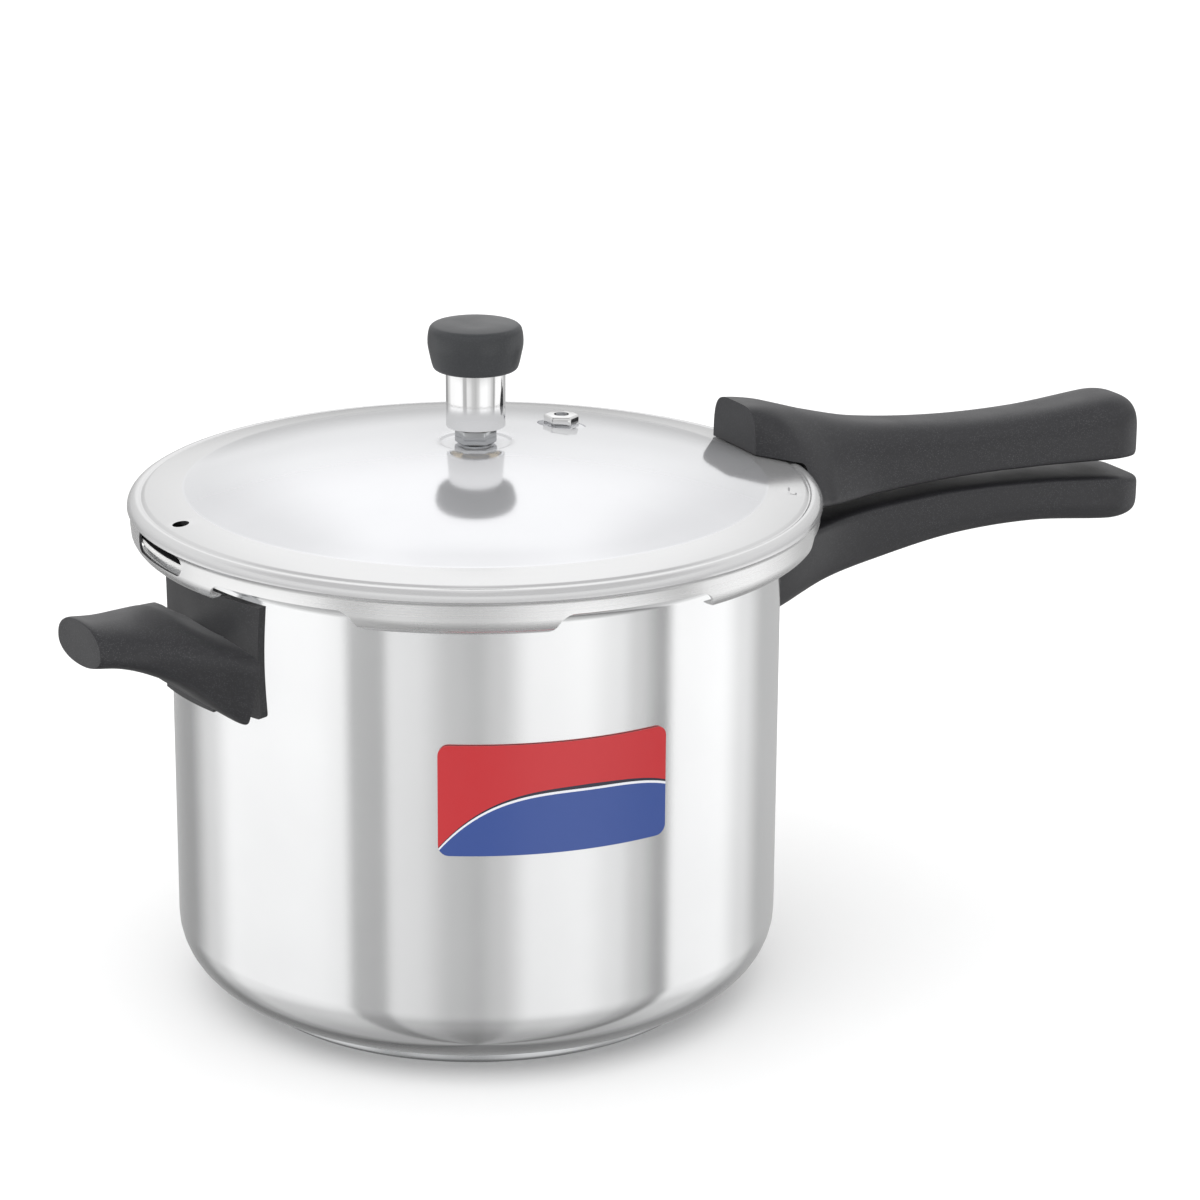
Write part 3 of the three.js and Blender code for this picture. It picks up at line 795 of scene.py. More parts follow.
@dataclass
class LidShell(SubAssembly):
    """The domed lid with its ring, rolled shoulder, skirt and lips."""

    radius: float = 119.1
    skirt_radius: float = 118.15
    sheet: float = 1.5
    ring_inner: float = 100.0
    ring_inner_height: float = 180.0
    crown_height: float = 194.8
    recess_radius: float = 13.3
    recess_depth: float = 1.2
    lip_height: float = 162.0
    lip_inner: float = 111.6
    gap_top: float = 168.9
    gap_deg: float = 27.0
    window: Triple = (36.0, 7.4, 170.4)
    ring_hole: Triple = (2.8, 108.2, 178.8)
    valve_place: tuple[float, float] = (40.0, 13.0)
    valve_seat: tuple[float, float] = (8.5, 190.8)

    def crown(self, radius: float) -> float:
        """Return the height of the dome at a radius."""
        share = min(1.0, radius / self.ring_inner)
        return self.ring_inner_height + (self.crown_height - self.ring_inner_height) * (1.0 - share * share)

    def sheet_metal(self) -> Mesh:
        """Return the turned sheet, before anything is cut out of it."""
        bottom = self.crown_height - self.recess_depth
        under = bottom - self.sheet
        rings = [float(radius) for radius in range(18, 98, 5)]
        skirt, inside = self.skirt_radius, self.skirt_radius - 0.9
        return lathed([
            (5.2, bottom, 0.2),
            (11.2, bottom, 1.0),
            (self.recess_radius, self.crown(self.recess_radius), 0.9),
            *((radius, self.crown(radius), 0.0) for radius in rings),
            (self.ring_inner, self.ring_inner_height, 0.7),
            (113.4, 178.05, 0.6),
            (114.3, 177.25, 0.5),
            (115.1, 177.75, 0.6),
            (self.radius, 177.3, 3.0),
            (self.radius, 174.3, 0.9),
            (skirt, 173.0, 0.5),
            (skirt, self.lip_height, 5.6),
            (self.lip_inner, self.lip_height, 0.3),
            (self.lip_inner, self.lip_height + self.sheet, 0.3),
            (inside, self.lip_height + self.sheet, 4.2),
            (inside, 176.1, 1.8),
            (self.ring_inner, self.ring_inner_height - self.sheet, 0.5),
            *((radius, self.crown(radius) - self.sheet, 0.0) for radius in reversed(rings)),
            (self.recess_radius, self.crown(self.recess_radius) - self.sheet, 0.9),
            (11.2, under, 1.0),
            (5.2, under, 0.2),
        ], steps=288, closed=True)

    def lip_gap(self, bearing_deg: float) -> Mesh:
        """Return the cutter for one gap between two lips.

        Args:
            bearing_deg: The gap's middle.

        Returns:
            A cutter with swept ends.
        """
        half = self.radius * math.radians(self.gap_deg) / 2.0
        skirt_edge = self.lip_height - 0.4
        low_end, high_end = half + 3.0, half - 1.4
        past_end = half + 9.0
        right = [(high_end, self.gap_top), (low_end, skirt_edge), (past_end, skirt_edge), (past_end, 156.0)]
        outline = [(-length, height) for length, height in reversed(right)] + right
        mesh = bmesh.new()
        verts = [mesh.verts.new((length, self.lip_inner - 4.0, height)) for length, height in outline]
        mesh.faces.new(verts)
        for vert in verts[2:6]:
            bmesh.ops.bevel(mesh, geom=[vert], offset=3.4, offset_type="OFFSET", segments=8, profile=0.5,
                            affect="VERTICES", material=-1, clamp_overlap=True)
        for slice_at in range(-7, 8):
            bmesh.ops.bisect_plane(mesh, geom=mesh.verts[:] + mesh.edges[:] + mesh.faces[:],
                                   plane_co=(slice_at * half / 7.5, 0.0, 0.0), plane_no=(1.0, 0.0, 0.0))
        deeper = bmesh.ops.extrude_face_region(mesh, geom=mesh.faces[:])["geom"]
        bmesh.ops.translate(mesh, vec=(0.0, 12.0, 0.0), verts=only_verts(deeper))
        for vert in mesh.verts:
            angle = vert.co.x / self.radius
            distance = vert.co.y
            vert.co = Vector((distance * math.cos(angle), distance * math.sin(angle), vert.co.z))
        return moved(recalculated(mesh), (0.0, 0.0, 0.0), bearing_deg)

    def window_cutter(self) -> Mesh:
        """Return the cutter for the long window in the skirt."""
        length, height, middle = self.window
        mesh = bmesh.new()
        bmesh.ops.create_cone(mesh, cap_ends=True, cap_tris=False, segments=40, radius1=height / 2.0,
                              radius2=height / 2.0, depth=12.0)
        tipped(mesh, "Y")
        straight = (length - height) / 2.0
        for vert in mesh.verts:
            if abs(vert.co.y) > 1e-4:
                vert.co.y += math.copysign(straight, vert.co.y)
        return moved(mesh, (-self.radius - 1.0, 0.0, middle))

    def valve_cup(self) -> Mesh:
        """Return the thicker seat under the dome for the safety valve."""
        seat_radius, seat = self.valve_seat
        cup = round_bar(seat_radius + 1.5, seat - self.sheet, self.crown_height, 64)
        moved(cup, (*self.valve_place, 0.0))
        rings = [(float(r), self.crown(r) - 0.1, 0.0) for r in range(15, 98, 5)]
        under_dome = lathed([(0.0, 180.0, 0.0), (97.0, 180.0, 0.0), *reversed(rings),
                             (0.0, self.crown(15.0) - 0.1, 0.0)], steps=120)
        return combined(cup, under_dome, Join.KEEP_SHARED)

    def alignment_mark(self) -> list[Mesh]:
        """Return the cutters for the small engraved closing mark."""
        stroke = swept_block(106.9, 107.6, 178.35, 181.0, -33.4, 4.0, 10)
        hook = swept_block(106.9, 110.0, 178.05, 181.0, -33.6, 0.36, 2)
        tick = swept_block(109.3, 110.0, 178.05, 181.0, -33.6, 1.4, 4)
        return [stroke, hook, tick]

    def build(self) -> None:
        """Build and dress the lid."""
        mesh = combined(self.sheet_metal(), self.valve_cup(), Join.ADD)
        seat_radius, seat = self.valve_seat
        place = (*self.valve_place, 0.0)
        cutters = [moved(round_bar(seat_radius, seat, 200.0, 64), place),
                   moved(round_bar(4.7, seat - 6.0, seat + 5.0, 64), place),
                   self.window_cutter()]
        hole_radius, reach, bearing = self.ring_hole
        cutters.append(moved(round_bar(hole_radius, 172.0, 184.0, 64), (reach, 0.0, 0.0), bearing))
        cutters.extend(self.lip_gap(30.0 + 60.0 * index) for index in range(6))
        cutters.extend(self.alignment_mark())
        for cutter in cutters:
            mesh = combined(mesh, cutter, Join.CUT)
        piece = self.placed("lid_dome", mesh, Body.LID, "polished_steel", LID_MIRROR, "lid_shell",
                            crease_deg=24.0)
        self.dress_zones(piece)

    def in_punched_hole(self, face: bpy.types.MeshPolygon, out: float, height: float) -> bool:
        """Tell whether a face is part of the punched wall of the window or of the small hole.

        Args:
            face: A face of the lid.
            out: The face's distance from the axis.
            height: The face's height.

        Returns:
            True on the cut wall.
        """
        length, opening, middle = self.window
        across = abs(face.center.y) / MILLIMETRE
        outward = Vector((face.center.x, face.center.y, 0.0)).normalized()
        in_window = (face.center.x < 0.0 and out > self.skirt_radius - 1.2 and across < length / 2.0 + 0.2
                     and abs(height - middle) < opening / 2.0 + 0.1 and abs(face.normal.dot(outward)) < 0.75)
        hole_radius, hole_out, hole_deg = self.ring_hole
        hole_at = Vector((math.cos(math.radians(hole_deg)), math.sin(math.radians(hole_deg)), 0.0)) * hole_out
        gap = (Vector((face.center.x, face.center.y, 0.0)) / MILLIMETRE - hole_at).length
        return in_window or (gap < hole_radius + 0.1 and abs(face.normal.z) < 0.6)

    def dress_zones(self, piece: bpy.types.Object) -> None:
        """Give the ring and the skirt their own finishes, and paint shade on the punched edges with a dark
        finish.

        Args:
            piece: The lid.
        """
        for finish in (RING_MIRROR, SKIRT_STEEL, PAINTED_SHADE_CUT_EDGE):
            piece.data.materials.append(self.dressed(finish))
        for face in piece.data.polygons:
            out = math.hypot(face.center.x, face.center.y) / MILLIMETRE
            height = face.center.z / MILLIMETRE
            if out > self.ring_inner:
                face.material_index = 1 if height > 173.6 else 2
            # punched walls of the window and of the small hole get a dark finish: painted shade
            if self.in_punched_hole(face, out, height):
                face.material_index = 3


# ---------------------------------------------------------------- turned fittings


@dataclass(frozen=True)
class Fixing:
    """One screw with its washer, which holds a grip to its bracket."""

    grip: str
    node: str
    mark: str
    body: Body
    reach: float
    screw: tuple[float, float]
    washer: tuple[float, float]
    bearing_deg: float = 0.0


@dataclass
class Fittings(SubAssembly):
    """The vent tube, the safety valve, the seal and all the small fasteners."""

    vent_seat: float = 193.6
    vent_under: float = 192.1
    valve_place: tuple[float, float] = (40.0, 13.0)
    valve_seat: float = 190.8
    seal_step: float = 170.45
    fixings: tuple[Fixing, ...] = (
        Fixing("lid_grip", "lid_handle", "_1", Body.LID, 129.0, (159.6, 174.0), (162.35, 163.05)),
        Fixing("lid_grip", "lid_handle", "_2", Body.LID, 144.0, (159.6, 174.0), (162.35, 163.05)),
        Fixing("pot_grip", "body_handle", "", Body.POT, 138.0, (129.6, 146.0), (132.35, 133.05)),
        Fixing("helper_grip", "helper_handle", "", Body.POT, 125.0, (134.0, 150.6), (136.75, 137.6), 186.0),
    )

    def pan_screw(self, head_low: float, tip: float) -> Mesh:
        """Return a pan-head screw standing head down, with a cross recess.

        Args:
            head_low: Height of the head's outer face.
            tip: Height of the tip.

        Returns:
            The screw.
        """
        screw = lathed([
            (0.0, head_low, 0.0), (3.4, head_low, 0.7), (4.0, head_low + 1.2, 0.5),
            (4.0, head_low + 2.4, 0.2), (2.0, head_low + 2.4, 0.2), (2.0, tip - 1.0, 0.2), (1.1, tip, 0.1),
            (0.0, tip, 0.0),
        ], steps=40)
        for turn in (0.0, 90.0):
            slot = moved(upright_block((3.6, 0.7, 2.4), (0.0, 0.0, 0.0)), (0.0, 0.0, head_low), turn)
            screw = combined(screw, slot, Join.CUT)
        return screw

    def washer(self, inner: float, outer: float, low: float, high: float) -> Mesh:
        """Return a flat washer with eased edges.

        Args:
            inner: Bore radius.
            outer: Outer radius.
            low: Underside height.
            high: Top height.

        Returns:
            The washer.
        """
        ease = min(0.18, (high - low) * 0.25)
        return lathed([(inner, low, ease), (outer, low, ease), (outer, high, ease), (inner, high, ease)],
                      steps=56, closed=True)

    def nut(self, across_flats: float, bore: float, low: float, high: float) -> Mesh:
        """Return a hexagon nut.

        Args:
            across_flats: Width across the flats.
            bore: Bore radius.
            low: Underside height.
            high: Top height.

        Returns:
            The nut.
        """
        hole = turned_rod(bore, low - 1.0, high + 1.0, 48)
        return combined(hexagon_head(across_flats, low, high, 0.5), hole, Join.CUT)

    def vent_tube(self) -> Mesh:
        """Return the vent tube with its hexagon."""
        under = self.vent_under
        stem = lathed([
            (0.0, under - 9.0, 0.0), (4.8, under - 9.0, 0.5), (4.8, self.vent_seat + 2.0, 0.2),
            (4.0, 199.3, 0.1), (4.0, 209.5, 0.4), (3.1, 211.5, 0.3), (0.0, 211.5, 0.0),
        ], steps=64)
        body = combined(stem, hexagon_head(12.7, self.vent_seat + 0.35, 199.3, 0.7), Join.ADD)
        bore = turned_rod(1.7, 180.0, 213.0, 32)
        return combined(body, bore, Join.CUT)

    def valve_body(self) -> Mesh:
        """Return the safety valve's body with its hexagon."""
        seat = self.valve_seat
        stem = turned_rod(4.3, seat - 8.5, seat + 2.0, 48, 0.4)
        body = combined(stem, hexagon_head(11.0, seat + 0.35, seat + 5.0, 0.8), Join.ADD)
        bore = turned_rod(2.6, seat - 12.0, seat + 7.0, 32)
        return moved(combined(body, bore, Join.CUT), (*self.valve_place, 0.0))

    def seal(self) -> Mesh:
        """Return the silicone sealing ring."""
        low, outer = 168.35, 116.85
        return lathed([
            (106.2, low, 0.7), (outer, low, 0.6), (outer, self.seal_step, 0.5), (112.6, self.seal_step, 0.5),
            (112.6, low + 6.8, 0.9), (108.4, low + 6.8, 0.9), (108.4, self.seal_step, 0.8),
            (106.2, self.seal_step, 0.7),
        ], steps=240, closed=True)

    def build(self) -> None:
        """Build and dress the fittings."""
        steel, rubber, lid = "satin_steel", "grey_silicone", Body.LID
        under, seat = self.vent_under, self.valve_seat
        valve_under = seat - 1.5
        at_valve = (*self.valve_place, 0.0)
        self.placed("vent_pipe", self.vent_tube(), lid, "polished_steel", VENT_STEEL, "vent_tube")
        gasket = self.washer(5.2, 9.0, under - 1.9, under - 0.35)
        self.placed("vent_gasket", gasket, lid, rubber, SILICONE, "vent_tube_washer")
        nut = self.nut(15.0, 5.2, under - 7.4, under - 2.2)
        self.placed("vent_nut", nut, lid, steel, SATIN, "vent_tube_nut")
        self.placed("valve_housing", self.valve_body(), lid, "polished_steel", CHROME, "safety_valve_body")
        fuse = lathed([
            (0.0, seat - 5.0, 0.0), (2.2, seat - 5.0, 0.3), (2.2, seat + 4.2, 0.6), (0.0, seat + 4.5, 0.0),
        ], steps=40)
        self.placed("valve_fuse", moved(fuse, at_valve), lid, "fuse_alloy", FUSE_ALLOY, "safety_valve_fuse")
        gasket = moved(self.washer(4.65, 8.0, valve_under - 1.75, valve_under - 0.35), at_valve)
        self.placed("valve_gasket", gasket, lid, rubber, SILICONE, "safety_valve_washer")
        nut = moved(self.nut(12.0, 4.65, valve_under - 6.0, valve_under - 2.1), at_valve)
        self.placed("valve_nut", nut, lid, steel, SATIN, "safety_valve_nut")
        ring = self.placed("lid_seal", self.seal(), Body.SEAL, "pale_silicone", SEAL_PALE, "sealing_ring")
        # the seal's upper faces get a near-black finish: painted shade for the shadowed cavity seen through
        # the window
        ring.data.materials.append(self.dressed(PAINTED_SHADE_SEAL_TOP))
        for face in ring.data.polygons:
            if face.center.z / MILLIMETRE > self.seal_step - 0.1:
                face.material_index = 1
        self.fasteners()

    def fasteners(self) -> None:
        """Build the screws and washers of the three handles."""
        for fixing in self.fixings:
            at = (fixing.reach, 0.0, 0.0)
            screw = moved(self.pan_screw(*fixing.screw), at, fixing.bearing_deg)
            self.placed(f"{fixing.grip}_screw{fixing.mark}", screw, fixing.body, "satin_steel", SATIN,
                        f"{fixing.node}_screw{fixing.mark}")
            washer = moved(self.washer(2.35, 4.6, *fixing.washer), at, fixing.bearing_deg)
            self.placed(f"{fixing.grip}_washer{fixing.mark}", washer, fixing.body, "satin_steel", SATIN,
                        f"{fixing.node}_washer{fixing.mark}")
        for node in ("lid_handle_bracket", "body_handle_bracket", "helper_handle_bracket"):
            self.kept(node, SATIN)


# ---------------------------------------------------------------- weight


@dataclass
class PressureWeight(SubAssembly):
    """The jiggling weight: brass core, chromed sleeve and black knob."""

    knob_radius: float = 16.85
    knob_low: float = 219.8
    knob_high: float = 236.2

    def knob(self) -> Mesh:
        """Return the moulded knob."""
        low, high, wide = self.knob_low, self.knob_high, self.knob_radius
        return lathed([
            (0.0, 230.6, 0.0), (2.8, 230.6, 0.2), (2.8, low, 0.3), (14.2, low, 1.0), (15.0, 222.0, 1.2),
            (wide, 230.6, 3.4), (15.4, high - 1.2, 2.6), (11.0, high - 0.3, 2.4), (0.0, high, 0.0),
        ], steps=128)

    def build(self) -> None:
        """Build and dress the weight."""
        core = lathed([
            (5.0, 202.0, 0.3), (8.7, 202.0, 0.4), (8.7, 219.1, 0.4), (2.8, 219.1, 0.2), (2.8, 216.4, 0.1),
            (1.9, 215.8, 0.1), (1.9, 213.0, 0.2), (5.0, 213.0, 0.3), (5.0, 205.6, 0.1), (5.8, 205.6, 0.1),
            (5.8, 203.6, 0.1), (5.0, 203.6, 0.1),
        ], steps=72, closed=True)
        self.placed("weight_brass_core", core, Body.WEIGHT, "weight_brass", BRASS, "weight_core")
        sleeve = lathed([(9.1, 199.8, 0.2), (10.2, 199.8, 0.5), (10.2, 219.4, 0.3), (9.1, 219.4, 0.3)],
                        steps=128, closed=True)
        self.placed("weight_chrome_sleeve", sleeve, Body.WEIGHT, "polished_steel", CHROME, "weight_sleeve")
        clip = lathed([(4.4, 204.0, 0.3), (5.4, 204.0, 0.3), (5.4, 205.2, 0.3), (4.4, 205.2, 0.3)], steps=48,
                      closed=True)
        self.placed("weight_spring_clip", clip, Body.WEIGHT, "satin_steel", SATIN, "weight_clip")
        stud = turned_rod(2.4, 216.8, 230.2, 36, 0.3, 0.3)
        self.placed("weight_knob_stud", stud, Body.WEIGHT, "satin_steel", SATIN, "weight_stud")
        self.placed("weight_black_knob", self.knob(), Body.WEIGHT, "black_phenolic", KNOB_BLACK,
                    "weight_knob")
        needle = lathed([
            (0.0, 208.5, 0.0), (1.3, 211.3, 0.1), (1.3, 211.85, 0.1), (3.2, 211.85, 0.2), (3.2, 212.6, 0.2),
            (1.5, 212.6, 0.2), (1.5, 215.4, 0.3), (0.0, 215.4, 0.0),
        ], steps=40)
        self.placed("weight_seat_needle", needle, Body.NEEDLE, "polished_steel", CHROME, "weight_needle")


# ---------------------------------------------------------------- handles


@dataclass
class Grip:
    """A moulded grip along X, drawn through stations.

    Each station gives its place, the crowned side's height, the flat side's
    height, their two half widths, the two corner powers and the droop.
    """

    stations: list[Station]
    facets: int
    rings: int
    flare: float
    end_round: float
    end_taper: float
    middle: float = 0.4

    def reading(self, column: int, place: float) -> float:
        """Read one column smoothly between the stations.

        Args:
            column: The column's number.
            place: The place along X.

        Returns:
            The smooth value there.
        """
        rows = self.stations
        if place <= rows[0][0]:
            return rows[0][column]
        if place >= rows[-1][0]:
            return rows[-1][column]
        index = next(i for i, row in enumerate(rows) if row[0] > place) - 1

        def slope(at: int) -> float:
            """Return the slope through the stations on each side."""
            before, after = rows[max(at - 1, 0)], rows[min(at + 1, len(rows) - 1)]
            return (after[column] - before[column]) / (after[0] - before[0])

        start, end = rows[index], rows[index + 1]
        span = end[0] - start[0]
        t = (place - start[0]) / span
        return ((2 * t**3 - 3 * t**2 + 1) * start[column] + (t**3 - 2 * t**2 + t) * span * slope(index)
                + (3 * t**2 - 2 * t**3) * end[column] + (t**3 - t**2) * span * slope(index + 1))

    def moulded(self) -> Mesh:
        """Return the grip: a round bar, cut into rings and drawn to its sections."""
        mesh = bmesh.new()
        bmesh.ops.create_cone(mesh, cap_ends=True, cap_tris=False, segments=self.facets, radius1=1.0,
                              radius2=1.0, depth=1.0)
        long_edges = [edge for edge in mesh.edges if abs(edge.verts[0].co.z - edge.verts[1].co.z) > 0.5]
        bmesh.ops.subdivide_edges(mesh, edges=long_edges, cuts=self.rings, use_grid_fill=True)
        tipped(mesh, "Y")
        first, end = self.stations[0][0], self.stations[-1][0]
        for vert in mesh.verts:
            share = min(1.0, max(0.0, vert.co.x + 0.5))
            place = first + (end - first) * (1.35 * share - 0.35 * share**3.9)
            vert.co = self.section_point(place, math.atan2(vert.co.z, vert.co.y))
        return recalculated(mesh)

    def section_point(self, place: float, angle: float) -> Vector:
        """Return the point of the section at a place and an angle.

        Args:
            place: The place along X.
            angle: The angle round the section.

        Returns:
            The point.
        """
        crown, flat = self.reading(1, place), self.reading(2, place)
        crown_half, flat_half = self.reading(3, place), self.reading(4, place)
        end = self.stations[-1][0]
        past = min(1.0, max(0.0, (place - (end - self.end_round)) / self.end_round))
        taper = 1.0 - self.end_taper * (1.0 - math.sqrt(max(0.0, 1.0 - past**2)))
        power = 2.0 / self.reading(5 if math.sin(angle) > 0.0 else 6, place)
        side = self.lobe(math.cos(angle), power)
        rise = self.lobe(math.sin(angle), power)
        middle = self.middle
        height = middle + (1.0 - middle) * rise if rise > 0.0 else middle + middle * rise
        wide = crown_half + (flat_half - crown_half) * (1.0 - height) ** self.flare
        level = middle + (height - middle) * (taper if rise > 0.0 else 1.0)
        droop = self.reading(7, place) * side**2 * height
        return Vector((place, side * wide * taper, flat + (crown - flat) * level - droop))

    @staticmethod
    def lobe(value: float, power: float) -> float:
        """Return a signed power of a number."""
        return 0.0 if abs(value) < 1e-6 else math.copysign(abs(value) ** power, value)


def grip_station(place: float, crown: float, flat: float, crown_half: float, flat_half: float,
                 crown_power: float = 3.0, flat_power: float = 8.0, droop: float = 0.0) -> Station:
    """Return one station of a grip.

    Args:
        place: The place along X.
        crown: The crowned side's height.
        flat: The flat side's height.
        crown_half: The crowned side's half width.
        flat_half: The flat side's half width.
        crown_power: Squareness of the crowned side.
        flat_power: Squareness of the flat side.
        droop: How far the crown falls towards its sides.

    Returns:
        The station.
    """
    return (place, crown, flat, crown_half, flat_half, crown_power, flat_power, droop)


@dataclass
class Handles(SubAssembly):
    """The two long handles and the small helper handle."""

    pot_radius: float = 105.0
    lid_radius: float = 119.1
    flare_inner: float = 113.0
    flare_half: float = 37.5
    fin_half_deg: float = 17.0
    helper_deg: float = 186.0
    wall_heights: tuple[float, float] = (95.0, 185.0)

    def lid_grip(self) -> Mesh:
        """Return the long handle on the lid."""
        body = Grip([
            grip_station(102.6, 196.0, 161.0, 14.6, 15.0, 4.5),
            grip_station(107.0, 195.6, 161.0, 15.0, 22.0, 4.0),
            grip_station(114.0, 194.4, 161.0, 15.4, 33.0, 3.4),
            grip_station(121.0, 192.4, 161.0, 15.4, 33.0),
            grip_station(134.0, 188.4, 158.6, 15.4, 24.0),
            grip_station(155.0, 183.4, 158.6, 14.8, 17.0),
            grip_station(190.0, 179.6, 159.8, 14.2, 15.0),
            grip_station(225.0, 178.8, 159.3, 14.6, 15.2),
            grip_station(256.0, 180.6, 158.0, 16.2, 16.4),
            grip_station(269.5, 181.6, 157.6, 16.2, 16.4),
        ], 80, 120, 0.8, 12.0, 0.3).moulded()
        out = self.lid_radius + 0.7
        lid_space = lathed([
            (0.0, 150.0, 0.0), (out, 150.0, 0.0), (out, 175.4, 0.0), (out, 177.9, 2.4), (100.0, 180.3, 0.0),
            (0.0, 180.3, 0.0),
        ], steps=240)
        body = combined(body, lid_space, Join.CUT)
        for reach in (129.0, 144.0):
            body = combined(body, self.screw_well(reach, 150.0, 163.4, 175.0), Join.CUT)
        return self.fitted(body, (117.1, 153.0), (168.2, 172.0), (117.1, 122.5, 160.0, 176.4))

    def body_grip(self) -> Mesh:
        """Return the long handle on the pot."""
        body = Grip([
            grip_station(98.0, 116.0, 151.6, 24.0, 33.0),
            grip_station(112.0, 119.0, 152.0, 20.0, 30.0),
            grip_station(134.0, 126.8, 153.2, 16.4, 20.5),
            grip_station(155.0, 131.2, 154.4, 15.0, 16.4),
            grip_station(190.0, 136.4, 155.6, 14.2, 15.0),
            grip_station(225.0, 137.0, 154.4, 14.6, 15.2),
            grip_station(258.0, 133.6, 151.8, 16.4, 16.4),
            grip_station(270.5, 133.0, 150.0, 16.2, 16.4),
        ], 80, 120, 0.8, 12.0, 0.3).moulded()
        body = combined(body, round_bar(self.pot_radius + 0.4, *self.wall_heights, 240), Join.CUT)
        body = combined(body, self.screw_well(138.0, 110.0, 133.4, 147.0), Join.CUT)
        return self.fitted(body, (103.0, 151.0), (139.6, 143.4), (103.0, 108.4, 127.6, 150.4))

    def helper_grip(self) -> Mesh:
        """Return the small helper handle with its wall fin."""
        body = Grip([
            grip_station(98.0, 149.0, 117.0, 39.0, 33.0, 11.0, 11.0, 4.0),
            grip_station(106.0, 149.8, 118.9, 38.2, 32.0, 11.0, 11.0, 4.0),
            grip_station(114.0, 151.6, 124.4, 35.6, 29.0, 9.0, 9.0, 5.0),
            grip_station(123.0, 154.8, 131.8, 29.5, 24.0, 4.5, 4.5, 6.5),
            grip_station(133.0, 155.4, 137.2, 22.6, 19.4, 3.0, 3.0, 3.0),
            grip_station(143.0, 155.9, 140.6, 18.2, 16.6, 2.4, 2.4, 1.0),
            grip_station(153.0, 157.2, 142.0, 16.0, 15.0, 2.2, 2.2, 0.0),
        ], 96, 70, 1.0, 2.0, 0.05).moulded()
        body = combined(body, round_bar(self.flare_inner, *self.wall_heights, 240), Join.CUT)
        room = upright_block((90.0, 2.0 * self.flare_half, 90.0), (135.0, 0.0, 135.0))
        body = combined(body, room, Join.KEEP_SHARED)
        web = swept_block(106.4, self.flare_inner + 1.0, 122.5, 147.4, -8.0, 16.0, 16)
        body = combined(body, web, Join.ADD)
        body = combined(body, self.wall_fin(), Join.ADD)
        body = combined(body, self.screw_well(125.0, 110.0, 138.0, 151.4), Join.CUT)
        body = self.fitted(body, (103.0, 137.0), (143.6, 147.4), (103.0, 107.8, 127.6, 150.4))
        return moved(body, (0.0, 0.0, 0.0), self.helper_deg)

    def wall_fin(self) -> Mesh:
        """Return the curved fin that lies against the pot, with waisted edges."""
        inner = self.pot_radius + 0.4
        half = inner * math.radians(self.fin_half_deg)
        mesh = bmesh.new()
        bmesh.ops.create_grid(mesh, x_segments=24, y_segments=24, size=0.5)
        bmesh.ops.scale(mesh, vec=(2.0 * half, 38.4, 1.0), verts=mesh.verts[:])
        lower_corners = [v for v in mesh.verts if abs(v.co.x) > half - 0.01 and v.co.y < -19.1]
        bmesh.ops.bevel(mesh, geom=lower_corners, offset=1.5, offset_type="OFFSET", segments=5, profile=0.5,
                        affect="VERTICES", material=-1, clamp_overlap=True)
        thick = bmesh.ops.extrude_face_region(mesh, geom=mesh.faces[:])["geom"]
        bmesh.ops.translate(mesh, vec=(0.0, 0.0, 3.2), verts=only_verts(thick))
        for vert in mesh.verts:
            rise = (vert.co.y + 19.2) / 38.4
            length = vert.co.x * (1.0 - 0.035 * math.sin(math.pi * rise))
            angle, radius = length / inner, inner + vert.co.z
            vert.co = Vector((radius * math.cos(angle), radius * math.sin(angle), 122.6 + 38.4 * rise))
        return recalculated(mesh)

    def screw_well(self, reach: float, mouth: float, seat: float, tip: float) -> Mesh:
        """Return the cutter for a screw and its head.

        Args:
            reach: Its distance along X.
            mouth: The open end's height.
            seat: The washer seat's height.
            tip: The thread's end.

        Returns:
            The cutter.
        """
        well = lathed([
            (0.0, mouth, 0.0), (5.0, mouth, 0.0), (5.0, seat, 0.0), (2.4, seat, 0.0), (2.4, tip + 0.8, 0.0),
            (0.0, tip + 0.8, 0.0),
        ], steps=48)
        return moved(well, (reach, 0.0, 0.0))

    def fitted(self, body: Mesh, tongue: tuple[float, float], slot: tuple[float, float],
               plate: tuple[float, float, float, float]) -> Mesh:
        """Cut the room for a bracket's tongue and plate.

        Args:
            body: The handle.
            tongue: Where the tongue's slot starts and ends along X.
            slot: The slot's lowest and highest heights.
            plate: The plate's room along X, then its heights.

        Returns:
            The cut handle.
        """
        near, far = tongue
        low, high = slot
        cut = upright_block((far - near, 16.8, high - low), ((near + far) / 2.0, 0.0, (low + high) / 2.0))
        body = combined(body, cut, Join.CUT)
        inner, outer, bottom, top = plate
        middle = ((inner + outer) / 2.0, 0.0, (bottom + top) / 2.0)
        room = upright_block((outer - inner, 21.0, top - bottom), middle)
        return combined(body, room, Join.CUT)

    def build(self) -> None:
        """Build and dress the handles."""
        self.placed("lid_grip", self.lid_grip(), Body.LID, "black_phenolic", GRIP_BLACK, "lid_handle")
        self.placed("pot_grip", self.body_grip(), Body.POT, "black_phenolic", GRIP_BLACK, "body_handle")
        helper = self.placed("helper_grip", self.helper_grip(), Body.POT, "black_phenolic", GRIP_BLACK,
                             "helper_handle")
        helper.visible_glossy = False


# ---------------------------------------------------------------- studio


